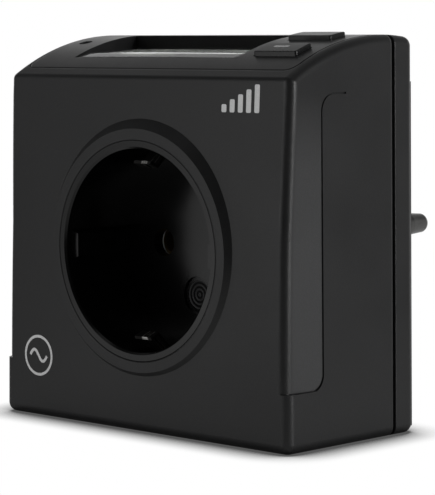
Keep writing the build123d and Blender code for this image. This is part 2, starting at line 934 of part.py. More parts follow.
def make_socket_insert():
    cup = rod(insert_radius, -collar_rise, insert_end, height=socket_height)
    flange_start = sleeve_end + seat_clearance
    cup = cup + rod(sleeve_radius, flange_start, flange_start + flange_thickness, height=socket_height)
    cup = cup - rod(bowl_radius, -collar_rise - overrun, bowl_end, height=socket_height)
    cup = cup - taper(
        bowl_radius + bowl_lip, bowl_radius, -collar_rise, bowl_lip - collar_rise, height=socket_height
    )
    for sign in side_signs:
        root = sign * (bowl_radius + bowl_lip)
        crest = sign * (bowl_radius - rib_rise)
        corners = [
            (root, -rib_width / 2),
            (root, rib_width / 2),
            (crest, rib_top_width / 2),
            (crest, -rib_top_width / 2),
        ]
        face = Plane.XZ.offset(-bowl_end) * Pos(0, socket_height) * make_face(Polyline(*corners, close=True))
        cup = cup + extrude(face, amount=bowl_end - rib_start)
        low, high = sorted((socket_height + sign * (bowl_radius - wall), socket_height + sign * insert_radius))
        slot_half = clip_width / 2 + clip_slot_margin
        slot = slab((-slot_half, clip_slot_start, low), (slot_half, insert_end + overrun, high + seam_clearance))
        slot = slot & rod(insert_radius + overrun, clip_slot_start, insert_end + overrun, height=socket_height)
        ring = rod(sleeve_radius, flange_start, flange_start + flange_thickness, height=socket_height)
        ring = ring - rod(insert_radius, flange_start - overrun, insert_end, height=socket_height)
        cup = cup - (slot - ring)
        hole_x = sign * contact_x
        cup = cup - rod(pin_hole_radius, bowl_end - overrun, insert_end + overrun, hole_x, socket_height)
    cup = cup - rod(mark_radius, bowl_end - overrun, bowl_end + mark_depth, height=mark_height)
    head_end = bowl_end + mark_depth + socket_screw_head
    head_hole = socket_screw_head_radius + screw_clearance
    cup = cup - rod(head_hole, bowl_end, head_end, height=mark_height)
    shank_hole = socket_screw_radius + screw_hole_clearance
    return cup - rod(shank_hole, bowl_end, insert_end + overrun, height=mark_height)


def make_socket_screw():
    head_start = bowl_end + mark_depth
    head_end = head_start + socket_screw_head
    head = rod(socket_screw_head_radius, head_start, head_end, height=mark_height)
    shank_end = head_end + socket_screw_length
    return head + rod(socket_screw_radius, head_end, shank_end, height=mark_height)


def make_socket_earth_clip():
    half = [
        (clip_tip_depth, clip_tip_radius),
        (clip_bulge_depth, clip_bulge_radius),
        (clip_run_depth, clip_run_radius),
        (clip_back_depth, clip_run_radius),
    ]
    points = half + [(depth, -radius) for depth, radius in reversed(half)]
    band = trace(Polyline(*points), line_width=clip_thickness)
    face = Plane.YZ * Pos(0, socket_height) * band
    clip = extrude(face, amount=clip_width / 2, both=True)
    hole = socket_screw_radius + screw_hole_clearance
    return clip - rod(hole, insert_end, carrier_start, height=mark_height)


def make_contact_carrier():
    block = slab((-carrier_half, carrier_start, carrier_low), (carrier_half, carrier_end, carrier_high))
    for sign in side_signs:
        bore = contact_radius + carrier_clearance
        block = block - rod(
            bore, carrier_start - overrun, carrier_end + overrun, sign * contact_x, socket_height
        )
    pilot = socket_screw_radius + screw_clearance
    return block - rod(pilot, carrier_start - overrun, carrier_end + overrun, height=mark_height)


def make_contact(sign):
    """Split tube that grips a pin; sign picks the side."""
    x = sign * contact_x
    tube = rod(contact_radius, carrier_start, contact_end, x, socket_height)
    tube = tube - rod(contact_bore_radius, carrier_start - overrun, contact_end + overrun, x, socket_height)
    slit_end = x - sign * 2 * contact_radius
    low, high = sorted((x, slit_end))
    half = contact_slit / 2
    return tube - slab(
        (low, carrier_start - overrun, socket_height - half), (high, contact_end + overrun, socket_height + half)
    )


def make_strip(sign):
    """Bent strip from a socket contact to a plug pin; sign picks the side."""
    outer = strip_reach()
    inner = outer - strip_thickness
    run = [(inner, carrier_end + seat_clearance), (outer, carrier_end + seat_clearance)]
    run = run + [(outer, strip_end), (contact_x - plug_pin_radius, strip_end)]
    run = run + [(contact_x - plug_pin_radius, strip_end - strip_thickness), (inner, strip_end - strip_thickness)]
    outline = make_face(Polyline(*[(sign * x, depth) for x, depth in run], close=True))
    prism = Pos(0, 0, strip_low) * extrude(outline, amount=strip_high - strip_low, dir=(0, 0, 1))
    return prism


def make_plug_pin(sign):
    taper_start = pin_tip - plug_pin_taper
    nose_start = pin_tip - plug_pin_nose
    ball = (plug_pin_nose_radius**2 + plug_pin_nose**2) / (2 * plug_pin_nose)
    turn = asin(plug_pin_nose_radius / ball) / 2
    middle = (ball * sin(turn), pin_tip - ball + ball * cos(turn))
    neck_end = boss_end + plug_pin_neck_show
    side = Polyline(
        (0, pin_tip),
        (0, strip_end),
        (plug_pin_neck_radius, strip_end),
        (plug_pin_neck_radius, neck_end),
        (plug_pin_radius, neck_end),
        (plug_pin_radius, taper_start),
        (plug_pin_nose_radius, nose_start),
    )
    nose = ThreePointArc((plug_pin_nose_radius, nose_start), middle, (0, pin_tip))
    return Pos(sign * contact_x, 0, plug_height) * revolve(make_face(side + nose), Axis.Y)


def make_plug_earth_clip():
    leg = earth_leg_radius()
    half = [
        (earth_leg_end, leg - earth_hook),
        (earth_leg_end - earth_hook, leg),
        (earth_back_depth, leg),
    ]
    points = half + [(depth, -radius) for depth, radius in reversed(half)]
    band = trace(Polyline(*points), line_width=clip_thickness)
    face = Plane.YZ * Pos(0, plug_height) * band
    return extrude(face, amount=clip_width / 2, both=True)


def make_earth_link():
    """Strip over the carrier, with a foot on each earth clip."""
    low = carrier_high + board_window_margin
    start = clip_back_depth + clip_thickness / 2 + seat_clearance
    end = earth_back_depth - clip_thickness / 2 - seat_clearance
    foot = low + clip_width
    outline = [
        (start, foot),
        (start, low),
        (end, low),
        (end, foot),
        (end - clip_thickness, foot),
        (end - clip_thickness, low + clip_thickness),
        (start + clip_thickness, low + clip_thickness),
        (start + clip_thickness, foot),
    ]
    face = Plane.YZ * make_face(Polyline(*outline, close=True))
    return extrude(face, amount=clip_width / 2, both=True)


def make_main_board():
    board = slab((-board_half_width, board_front, board_low), (board_half_width, board_back, board_high))
    half = carrier_half + board_window_margin
    board = board - slab(
        (-half, board_front - overrun, carrier_low - board_window_margin),
        (half, board_back + overrun, carrier_high + board_window_margin / 2),
    )
    link_half = clip_width / 2 + clip_slot_margin
    link_high = carrier_high + 2 * board_window_margin + clip_width
    board = board - slab(
        (-link_half, board_front - overrun, carrier_high), (link_half, board_back + overrun, link_high)
    )
    for x, height in board_post_places():
        hole = board_screw_radius + screw_hole_clearance
        board = board - rod(hole, board_front - overrun, board_back + overrun, x, height)
    return board


def make_main_board_screws():
    screws = []
    for x, height in board_post_places():
        head = rod(board_screw_head_radius, board_back, board_back + board_screw_head, x, height)
        shank = rod(board_screw_radius, board_back - board_screw_length, board_back, x, height)
        screws.append((head + shank).solid())
    return Compound(screws)


def make_housing_screws():
    screws = []
    for x, height in pillar_places():
        head_end = housing_screw_seat + housing_screw_head
        head = rod(housing_screw_head_radius, housing_screw_seat, head_end, x, height)
        start = housing_screw_seat - housing_screw_length
        shank = rod(housing_screw_radius, start, housing_screw_seat, x, height)
        screws.append((head + shank).solid())
    return Compound(screws)


def make_dropper_capacitor():
    block = slab(
        (-row_end, board_back, upper_row_height - dropper_height / 2),
        (dropper_width - row_end, board_back + part_reach, upper_row_height + dropper_height / 2),
    )
    return fillet([e for e in block.edges() if e.center().Y > board_back + seat_clearance], dropper_round)


def make_smoothing_capacitor():
    x = smoothing_x
    height = upper_row_height
    can = rod(smoothing_radius, board_back, board_back + part_reach, x, height)
    groove_start = board_back + smoothing_radius / 2
    groove = rod(smoothing_radius, groove_start, groove_start + wall / 2, x, height)
    groove = groove - rod(smoothing_radius - wall / 8, groove_start, groove_start + wall / 2, x, height)
    return can - groove


def make_varistor():
    x = row_end - varistor_thickness / 2
    height = upper_row_height
    middle = board_back + varistor_lift + varistor_radius
    disc = across(varistor_radius, middle, height, varistor_thickness, x)
    disc = fillet(disc.edges().filter_by(GeomType.CIRCLE), varistor_thickness / 4)
    for sign in side_signs:
        leg_height = height + sign * varistor_radius / 2
        disc = disc + rod(varistor_leg_radius, board_back, middle, x, leg_height)
    return disc


def make_fuse_resistor():
    x = board_half_width - fuse_inset
    height = fuse_height
    depth = board_back + fuse_lift + fuse_radius
    body = Pos(x, depth, height) * Cylinder(fuse_radius, fuse_length)
    body = fillet(body.edges().filter_by(GeomType.CIRCLE), fuse_radius / 3)
    for sign in side_signs:
        end = height + sign * (fuse_length / 2 + fuse_radius)
        low, high = sorted((height, end))
        lead = Pos(x, depth, (low + high) / 2) * Cylinder(fuse_lead_radius, high - low)
        body = body + lead + rod(fuse_lead_radius, board_back, depth + fuse_lead_radius, x, end)
    return body


def make_backup_cells():
    x = cell_row_half - row_end
    depth = board_back + cell_lift + cell_radius
    cells = []
    for index in range(cell_count):
        centre = x + (index - (cell_count - 1) / 2) * (cell_length + cell_gap)
        cell = across(cell_radius, depth, cell_height, cell_length, centre)
        cells.append(fillet(cell.edges().filter_by(GeomType.CIRCLE), cell_length / 8).solid())
    return Compound(cells)


def make_metering_chip():
    x = row_end - chip_width / 2
    start = board_back + chip_lift
    half_height = chip_height / 2
    chip = slab(
        (x - chip_width / 2, start, chip_middle_height - half_height),
        (x + chip_width / 2, start + chip_thickness, chip_middle_height + half_height),
    )
    for index in range(chip_leg_count):
        leg_x = x + (index - (chip_leg_count - 1) / 2) * chip_leg_pitch
        half = chip_leg_width / 2
        leg_reach = half_height + chip_leg_reach
        chip = chip + slab(
            (leg_x - half, board_back, chip_middle_height - leg_reach),
            (leg_x + half, start + chip_leg_thickness, chip_middle_height + leg_reach),
        )
    return chip


def make_ribbon_cable():
    half = ribbon_width / 2
    band = slab((-half, board_back, ribbon_low), (half, board_back + ribbon_thickness, body_height))
    reach = body_width
    under = deck_slab((-reach, -reach, -reach), (reach, reach, display_board_foot))
    return band & under


def write(node, shape):
    """Centre a sub-part in depth and write it."""
    export_step(Pos(0, -centre_depth, 0) * shape, "parts/" + node + ".step")


def main():
    os.makedirs("parts", exist_ok=True)
    form = outer_form()
    write("front_housing", make_front_housing(form))
    write("rear_cover", make_rear_cover(form))
    write("top_panel", make_top_panel())
    write("display_lens", make_display_lens())
    write("lcd_glass", make_lcd_glass())
    write("lcd_holder", make_lcd_holder())
    write("zebra_strips", make_zebra_strips())
    write("display_board", make_display_board())
    write("display_chip", make_display_chip())
    write("display_screws", make_display_screws())
    write("tact_switches", make_tact_switches())
    write("front_key", make_key(front_key_reach))
    write("front_key_stem", make_stem(key_x, front_key_reach))
    write("rear_key", make_key(rear_key_reach))
    write("rear_key_stem", make_stem(key_x, rear_key_reach))
    write("reset_key", make_reset_key())
    write("reset_key_stem", make_stem(reset_x, reset_reach))
    write("socket_insert", make_socket_insert())
    write("socket_screw", make_socket_screw())
    write("socket_earth_clip", make_socket_earth_clip())
    write("contact_carrier", make_contact_carrier())
    write("live_contact", make_contact(1))
    write("neutral_contact", make_contact(-1))
    write("live_strip", make_strip(1))
    write("shunt_strip", make_strip(-1))
    write("live_pin", make_plug_pin(1))
    write("neutral_pin", make_plug_pin(-1))
    write("plug_earth_clip", make_plug_earth_clip())
    write("earth_link", make_earth_link())
    write("main_board", make_main_board())
    write("main_board_screws", make_main_board_screws())
    write("housing_screws", make_housing_screws())
    write("dropper_capacitor", make_dropper_capacitor())
    write("smoothing_capacitor", make_smoothing_capacitor())
    write("varistor", make_varistor())
    write("fuse_resistor", make_fuse_resistor())
    write("backup_cells", make_backup_cells())
    write("metering_chip", make_metering_chip())
    write("ribbon_cable", make_ribbon_cable())


main()
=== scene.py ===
"""Looks of the plug-in energy monitor, in metres and in the frame of its CAD model.

The meter stands on its foot. Seen from the front, x runs to the right, y runs back along the plug's pins and z runs
up.
"""

import math

import bmesh
import bpy
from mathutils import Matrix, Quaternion, Vector


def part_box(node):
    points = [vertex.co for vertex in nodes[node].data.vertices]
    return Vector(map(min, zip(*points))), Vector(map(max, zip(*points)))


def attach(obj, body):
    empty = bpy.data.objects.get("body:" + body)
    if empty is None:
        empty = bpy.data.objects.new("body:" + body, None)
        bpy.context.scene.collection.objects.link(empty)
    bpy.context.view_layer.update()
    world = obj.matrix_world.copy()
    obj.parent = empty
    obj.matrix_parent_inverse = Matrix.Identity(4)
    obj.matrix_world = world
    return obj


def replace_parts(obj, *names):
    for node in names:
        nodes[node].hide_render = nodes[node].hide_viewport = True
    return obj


MM = 0.001

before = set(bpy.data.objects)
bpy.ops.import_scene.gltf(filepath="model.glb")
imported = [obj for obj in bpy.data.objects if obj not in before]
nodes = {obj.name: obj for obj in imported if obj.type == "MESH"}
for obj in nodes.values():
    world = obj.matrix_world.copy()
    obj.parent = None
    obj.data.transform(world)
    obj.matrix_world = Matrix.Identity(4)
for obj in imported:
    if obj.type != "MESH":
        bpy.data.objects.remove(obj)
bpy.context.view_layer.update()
bpy.context.scene.view_settings.view_transform = "Standard"

# Sizes of the meter that the materials and the added pieces follow, in millimetres.
CENTRE_DEPTH = 38.4
FACE_RADIUS = 1600.0
ROOF_RADIUS = 53.0
ROOF_CREST = 29.7
BODY_HEIGHT = 77.9
SOCKET_HEIGHT = 35.9
DECK_TILT = math.radians(6.3)
DECK_FRONT = 8.4
DECK_HEIGHT = 73.35
WINDOW_X = -3.95
WINDOW_REACH = 17.98
WINDOW_SPARE = 0.12
GLASS_TOP = -2.0
LENS_HALF_WIDTH = 22.65
LENS_REACH = (0.1, 17.63)
LENS_FOOT = -1.0
SEAM_RADIUS = 21.64
SEAM_DEPTH = 1.5
PARTING_MIDDLE = 30.9
PARTING_HALF = 0.4
PANEL_HALF_WIDTH = 36.6
PANEL_FRONT = 4.1
PANEL_BACK = 28.3
PANEL_CORNER = 2.0
PANEL_FOOT = 66.0
GRIP_LOW = 11.4
GRIP_TOP = 67.0
GRIP_FADE = 14.0
GRIP_FRONT = (1.3, 2.3)
GRIP_BACK = 10.0
GRIP_SIDE = (37.0, 37.6)
GRIP_CORNER = 3.0
KEY_RISE = 0.9
PRINT_GAP = 0.004
PRINT_THICKNESS = 0.012
GLASS_PRINT_GAP = 0.02

# The camera that fits the photograph: its place in millimetres, its turn in degrees, and the focal length and the
# picture's width in pixels.
CAMERA_PLACE = (320.19, -351.25, 77.29)
CAMERA_AZIMUTH = 43.665
CAMERA_PITCH = 5.205
CAMERA_ROLL = -0.12
FOCAL_PIXELS = 2300.0
PICTURE_WIDTH = 435.0
SENSOR_WIDTH = 36.0


def to_frame(x, depth, height):
    """A point given from the socket's axis, the face's foot and the floor, in metres."""
    return Vector((x * MM, (depth - CENTRE_DEPTH) * MM, height * MM))


def on_face(x, height, proud):
    """Point over the bulged front face."""
    bulge = FACE_RADIUS - math.sqrt(FACE_RADIUS**2 - height**2)
    return to_frame(x, bulge - proud, height)


def on_deck(x, reach, rise):
    """Point over the tilted deck that carries the display."""
    depth = DECK_FRONT + reach * math.cos(DECK_TILT) - rise * math.sin(DECK_TILT)
    height = DECK_HEIGHT + reach * math.sin(DECK_TILT) + rise * math.cos(DECK_TILT)
    return to_frame(x, depth, height)


def on_roof(x, depth, proud):
    """Point over the curved roof."""
    radius = ROOF_RADIUS + proud
    return to_frame(x, depth, BODY_HEIGHT - ROOF_RADIUS + math.sqrt(radius**2 - (depth - ROOF_CREST) ** 2))


def add_object(name, data):
    thing = bpy.data.objects.new(name, data)
    bpy.context.scene.collection.objects.link(thing)
    return thing


# ---- camera ----


def add_camera():
    """Camera with the photograph's place, turn and frame."""
    data = bpy.data.cameras.new("photo_camera")
    data.sensor_fit = "HORIZONTAL"
    data.sensor_width = SENSOR_WIDTH
    data.lens = SENSOR_WIDTH * FOCAL_PIXELS / PICTURE_WIDTH
    data.clip_start = 0.01
    data.clip_end = 30.0
    camera = add_object("photo_camera", data)
    camera.location = Vector(CAMERA_PLACE) * MM
    azimuth = math.radians(CAMERA_AZIMUTH)
    forward = Vector((-math.sin(azimuth), math.cos(azimuth), -math.tan(math.radians(CAMERA_PITCH))))
    level = forward.to_track_quat("-Z", "Y")
    camera.rotation_euler = (level @ Quaternion((0, 0, 1), math.radians(CAMERA_ROLL))).to_euler()
    bpy.context.scene.camera = camera


add_camera()


# ---- nodes that every material is put together from ----


def feed(tree, value, socket):
    """Give a socket a number or colour, or link another node's output to it."""
    if isinstance(value, bpy.types.NodeSocket):
        tree.links.new(value, socket)
    else:
        socket.default_value = value


def add_node(tree, kind, **values):
    """New node with its named inputs fed; an underscore in a name stands for a space."""
    node = tree.nodes.new(kind)
    for label, value in values.items():
        feed(tree, value, node.inputs[label.replace("_", " ")])
    return node


def place_group(tree, group, **values):
    """Outputs of a shader group that is placed in a material with its own values."""
    node = tree.nodes.new("ShaderNodeGroup")
    node.node_tree = group
    for label, value in values.items():
        feed(tree, value, node.inputs[label.replace("_", " ")])
    return node.outputs


def math_node(tree, operation, *values, clamp=False):
    node = tree.nodes.new("ShaderNodeMath")
    node.operation = operation
    node.use_clamp = clamp
    for value, socket in zip(values, node.inputs):
        feed(tree, value, socket)
    return node.outputs[0]


def times(tree, first, second):
    return math_node(tree, "MULTIPLY", first, second)


def plus(tree, first, second):
    return math_node(tree, "ADD", first, second)


def minus(tree, first, second):
    return math_node(tree, "SUBTRACT", first, second)


def away_from(tree, value, centre):
    """Distance of a value from a centre, to either side."""
    return math_node(tree, "ABSOLUTE", minus(tree, value, centre))


def span(tree, first, second):
    """Straight distance from two distances at right angles."""
    return math_node(tree, "SQRT", plus(tree, times(tree, first, first), times(tree, second, second)))


def map_node(tree, value, low, high, to_low=0.0, to_high=1.0):
    mapped = add_node(tree, "ShaderNodeMapRange", Value=value, From_Min=low, From_Max=high, To_Min=to_low,
                      To_Max=to_high)
    return mapped.outputs["Result"]


def mix_colour(tree, share, first, second):
    """Blend from the first colour to the second."""
    node = tree.nodes.new("ShaderNodeMix")
    node.data_type = "RGBA"
    for index, value in ((0, share), (6, first), (7, second)):
        feed(tree, (*value, 1.0) if isinstance(value, tuple) else value, node.inputs[index])
    return node.outputs[2]


def object_place(tree):
    return tree.nodes.new("ShaderNodeTexCoord").outputs["Object"]


def split_place(tree):
    """Object coordinates by axis, in metres."""
    return add_node(tree, "ShaderNodeSeparateXYZ", Vector=object_place(tree)).outputs


def millimetres(tree):
    """Object coordinates as x, depth behind the face's foot and height, in millimetres."""
    place = split_place(tree)
    x, depth, height = (times(tree, place[axis], 1000.0) for axis in "XYZ")
    return x, plus(tree, depth, CENTRE_DEPTH), height


def noise_node(tree, scale, detail, roughness, vector=None):
    noise = add_node(tree, "ShaderNodeTexNoise", Vector=vector or object_place(tree), Scale=scale, Detail=detail,
                     Roughness=roughness)
    return noise.outputs["Fac"]


# ---- shader groups shared by the materials ----


def start_group(name, inputs, outputs):
    """Empty shader group: its inputs by name with their values, its number outputs by name."""
    group = bpy.data.node_groups.new(name, "ShaderNodeTree")
    for label, value in inputs.items():
        kind = "NodeSocketVector" if isinstance(value, tuple) else "NodeSocketFloat"
        group.interface.new_socket(name=label, in_out="INPUT", socket_type=kind).default_value = value
    for label in outputs:
        group.interface.new_socket(name=label, in_out="OUTPUT", socket_type="NodeSocketFloat")
    return group, group.nodes.new("NodeGroupInput").outputs, group.nodes.new("NodeGroupOutput").inputs


def build_grain_group():
    """Spark-eroded grain of a moulded surface and the slow change of tone over it."""
    group, entry, leave = start_group(
        "moulded_grain", {"Grain Scale": 3000.0, "Patch Scale": 60.0}, ("Height", "Patch", "Speckle")
    )
    coarse = noise_node(group, entry["Grain Scale"], 3.0, 0.6)
    finer = noise_node(group, times(group, entry["Grain Scale"], 2.3), 2.0, 0.6)
    feed(group, plus(group, coarse, times(group, finer, 0.6)), leave["Height"])
    feed(group, noise_node(group, entry["Patch Scale"], 4.0, 0.55), leave["Patch"])
    feed(group, map_node(group, coarse, 0.38, 0.66), leave["Speckle"])
    return group


def build_handling_group():
    """Smudges and short fine scratches that a hand leaves on a glossier surface."""
    group, entry, leave = start_group(
        "handling_marks", {"Smudge Scale": 45.0, "Scratch Scale": 260.0}, ("Smudge", "Scratch")
    )
    feed(group, map_node(group, noise_node(group, entry["Smudge Scale"], 5.0, 0.6), 0.45, 0.75), leave["Smudge"])
    drawn = add_node(group, "ShaderNodeMapping", Vector=object_place(group), Rotation=(0.5, 0.3, 0.7),
                     Scale=(1.0, 14.0, 14.0))
    streak = noise_node(group, entry["Scratch Scale"], 2.0, 0.5, drawn.outputs["Vector"])
    feed(group, map_node(group, streak, 0.66, 0.72), leave["Scratch"])
    return group


def build_dust_group():
    """Faint dust that settles on surfaces facing up."""
    group, entry, leave = start_group("settled_dust", {"Dust Scale": 900.0, "Amount": 0.1}, ("Mask",))
    normal = group.nodes.new("ShaderNodeNewGeometry").outputs["Normal"]
    upward = add_node(group, "ShaderNodeSeparateXYZ", Vector=normal).outputs["Z"]
    specks = map_node(group, noise_node(group, entry["Dust Scale"], 5.0, 0.7), 0.52, 0.74)
    mask = times(group, map_node(group, upward, 0.5, 1.0), specks)
    feed(group, times(group, mask, entry["Amount"]), leave["Mask"])
    return group


def rounded_corner(tree, across, along, radius):
    """Signed distance from a corner's outline, from the distances past its rounding centre both ways."""
    outside = span(tree, math_node(tree, "MAXIMUM", across, 0.0), math_node(tree, "MAXIMUM", along, 0.0))
    inside = math_node(tree, "MINIMUM", math_node(tree, "MAXIMUM", across, along), 0.0)
    return minus(tree, plus(tree, outside, inside), radius)


def build_seam_group():
    """Height that falls off towards the seams, for the soft edges that moulded parts have there."""
    group, entry, leave = start_group("seam_edges", {"Edge Width": 0.35}, ("Height",))
    x, depth, height = millimetres(group)
    far_off = 50.0
    behind_seam = times(group, math_node(group, "GREATER_THAN", depth, SEAM_DEPTH), far_off)
    radius = span(group, x, minus(group, height, SOCKET_HEIGHT))
    socket = plus(group, away_from(group, radius, SEAM_RADIUS), behind_seam)
    side = minus(group, math_node(group, "ABSOLUTE", x), PANEL_HALF_WIDTH - PANEL_CORNER)
    along = away_from(group, depth, (PANEL_FRONT + PANEL_BACK) / 2)
    along = minus(group, along, (PANEL_BACK - PANEL_FRONT) / 2 - PANEL_CORNER)
    under_panel = times(group, math_node(group, "LESS_THAN", height, PANEL_FOOT), far_off)
    panel = math_node(group, "ABSOLUTE", rounded_corner(group, side, along, PANEL_CORNER))
    panel = plus(group, panel, under_panel)
    parting = away_from(group, away_from(group, depth, PARTING_MIDDLE), PARTING_HALF)
    nearest = math_node(group, "MINIMUM", math_node(group, "MINIMUM", socket, panel), parting)
    fall = minus(group, 1.0, math_node(group, "DIVIDE", nearest, entry["Edge Width"], clamp=True))
    feed(group, minus(group, 1.0, times(group, fall, fall)), leave["Height"])
    return group


def build_grip_group():
    """1 inside the grip recess of either side, fading out at its top."""
    group, entry, leave = start_group("grip_area", {"Softness": 0.1}, ("Mask",))
    x, depth, height = millimetres(group)
    rearward = minus(group, depth, GRIP_BACK - GRIP_CORNER)
    downward = minus(group, GRIP_LOW + GRIP_CORNER, height)
    outline = rounded_corner(group, rearward, downward, GRIP_CORNER)
    inside = math_node(group, "DIVIDE", times(group, outline, -1.0), entry["Softness"], clamp=True)
    bulge = math_node(group, "DIVIDE", times(group, height, height), 2.0 * FACE_RADIUS)
    behind_edge = map_node(group, minus(group, depth, bulge), *GRIP_FRONT)
    fade = times(group, map_node(group, height, GRIP_TOP - GRIP_FADE, GRIP_TOP, 1.0, 0.0), behind_edge)
    beside = map_node(group, math_node(group, "ABSOLUTE", x), *GRIP_SIDE)
    feed(group, times(group, times(group, inside, fade), beside), leave["Mask"])
    return group


def build_window_group():
    """1 on the rear wall of the display's window, which the mould leaves rough and which is darkened with painted
    shade.
    """
    group, entry, leave = start_group("window_wall", {"Softness": 0.05}, ("Mask",))
    x, depth, height = millimetres(group)
    back = times(group, minus(group, depth, DECK_FRONT), math.cos(DECK_TILT))
    up = times(group, minus(group, height, DECK_HEIGHT), math.sin(DECK_TILT))
    short = away_from(group, plus(group, back, up), WINDOW_REACH)
    near = minus(group, 1.0, math_node(group, "DIVIDE", short, entry["Softness"], clamp=True))
    on_wall = math_node(group, "GREATER_THAN", near, 0.05)
    within = math_node(group, "LESS_THAN", away_from(group, x, WINDOW_X), LENS_HALF_WIDTH + WINDOW_SPARE)
    feed(group, times(group, on_wall, within), leave["Mask"])
    return group


GRAIN = build_grain_group()
HANDLING = build_handling_group()
DUST = build_dust_group()
SEAMS = build_seam_group()
GRIP = build_grip_group()
WINDOW = build_window_group()


# ---- materials ----

DUST_COLOUR = (0.42, 0.41, 0.39)
# Painted shade for the rear wall of the display's window.
WINDOW_WALL_SHADE = (0.0016, 0.0016, 0.0016)


def start_material(name, grain, patches, **settings):
    """New material with its shader's own settings, and the outputs of its moulded grain."""
    material = bpy.data.materials.new(name)
    material.use_nodes = True
    tree = material.node_tree
    shader = tree.nodes["Principled BSDF"].inputs
    for label, value in settings.items():
        feed(tree, value, shader[label.replace("_", " ")])
    return material, tree, shader, place_group(tree, GRAIN, Grain_Scale=grain, Patch_Scale=patches)


def patchy(tree, skin, low, high):
    """Value that changes slowly over the surface, between two bounds."""
    return map_node(tree, skin["Patch"], 0.3, 0.7, low, high)


def finish_surface(tree, shader, colour, rough, height, strength, depth, metal=None):
    """Feed the shader its colour, roughness and share of metal, and a bump of a depth in millimetres."""
    feed(tree, colour, shader["Base Color"])
    feed(tree, rough, shader["Roughness"])
    if metal is not None:
        feed(tree, metal, shader["Metallic"])
    bump = add_node(tree, "ShaderNodeBump", Height=height, Strength=strength, Distance=depth * MM)
    feed(tree, bump.outputs["Normal"], shader["Normal"])
    return bump


def moulded_plastic(name, dark, light, roughness, spread=0.08, grain=3000.0, bump=0.25, specular=0.4, dust=0.06,
                    smudge=0.05, seam_edges=False, grip_tone=None, shaded_rough_window=False):
    """Moulded plastic with a spark-eroded grain, a slow change of tone, handling marks and a little dust."""
    material, tree, shader, skin = start_material(name, grain, 55.0, Specular_IOR_Level=specular)
    marks = place_group(tree, HANDLING, Smudge_Scale=40.0, Scratch_Scale=240.0)
    dirt = place_group(tree, DUST, Dust_Scale=1100.0, Amount=dust)
    tone = plus(tree, times(tree, skin["Speckle"], 0.55), times(tree, skin["Patch"], 0.45))
    colour = mix_colour(tree, tone, dark, light)
    rough = plus(tree, patchy(tree, skin, roughness - spread, roughness + spread),
                 times(tree, marks["Smudge"], smudge))
    if grip_tone is not None:
        grip = place_group(tree, GRIP, Softness=0.12)["Mask"]
        coarse = times(tree, grip, map_node(tree, skin["Speckle"], 0.0, 1.0, 0.7, 1.0))
        colour = mix_colour(tree, coarse, colour, grip_tone)
        rough = plus(tree, rough, times(tree, grip, 0.06))
    colour = mix_colour(tree, dirt["Mask"], colour, DUST_COLOUR)
    # Painted shade: the window's rear wall is darkened, besides being made rougher.
    if shaded_rough_window:
        wall = place_group(tree, WINDOW, Softness=0.08)["Mask"]
        colour = mix_colour(tree, wall, colour, WINDOW_WALL_SHADE)
        rough = plus(tree, rough, times(tree, wall, 0.62))
    fine = finish_surface(tree, shader, colour, rough, skin["Height"], bump, 0.06)
    if seam_edges:
        fall = place_group(tree, SEAMS, Edge_Width=0.36)["Height"]
        edge = add_node(tree, "ShaderNodeBump", Height=fall, Strength=1.0, Distance=0.22 * MM)
        feed(tree, edge.outputs["Normal"], fine.inputs["Normal"])
    return material


def brushed_metal(name, dark, light, roughness):
    """Plated or bare metal with drawn lines, stains and fine scratches."""
    material, tree, shader, skin = start_material(name, 1900.0, 130.0, Metallic=1.0, Specular_IOR_Level=0.5)
    scratch = place_group(tree, HANDLING, Smudge_Scale=150.0, Scratch_Scale=500.0)["Scratch"]
    colour = mix_colour(tree, skin["Patch"], dark, light)
    worn = mix_colour(tree, times(tree, scratch, 0.35), colour, light)
    rough = plus(tree, patchy(tree, skin, roughness - 0.06, roughness + 0.08), times(tree, scratch, 0.15))
    finish_surface(tree, shader, worn, rough, skin["Height"], 0.12, 0.03)
    return material


def clear_window():
    """Clear moulded window with faint smudges."""
    material, tree, shader, skin = start_material("clear_window", 900.0, 80.0, Transmission_Weight=1.0, IOR=1.49)
    smudge = place_group(tree, HANDLING, Smudge_Scale=90.0, Scratch_Scale=300.0)["Smudge"]
    feed(tree, mix_colour(tree, skin["Patch"], (0.90, 0.92, 0.92), (0.96, 0.97, 0.97)), shader["Base Color"])
    rough = plus(tree, patchy(tree, skin, 0.003, 0.012), times(tree, smudge, 0.02))
    feed(tree, rough, shader["Roughness"])
    return material


def display_glass():
    """Grey-green reflective display with the faint net of its cells."""
    material, tree, shader, skin = start_material("display_glass", 2600.0, 90.0, Specular_IOR_Level=0.5)
    colour = mix_colour(tree, skin["Patch"], (0.235, 0.265, 0.205), (0.290, 0.320, 0.250))
    netted = mix_colour(tree, times(tree, skin["Speckle"], 0.15), colour, (0.20, 0.22, 0.18))
    finish_surface(tree, shader, netted, patchy(tree, skin, 0.22, 0.34), skin["Height"], 0.06, 0.02)
    return material


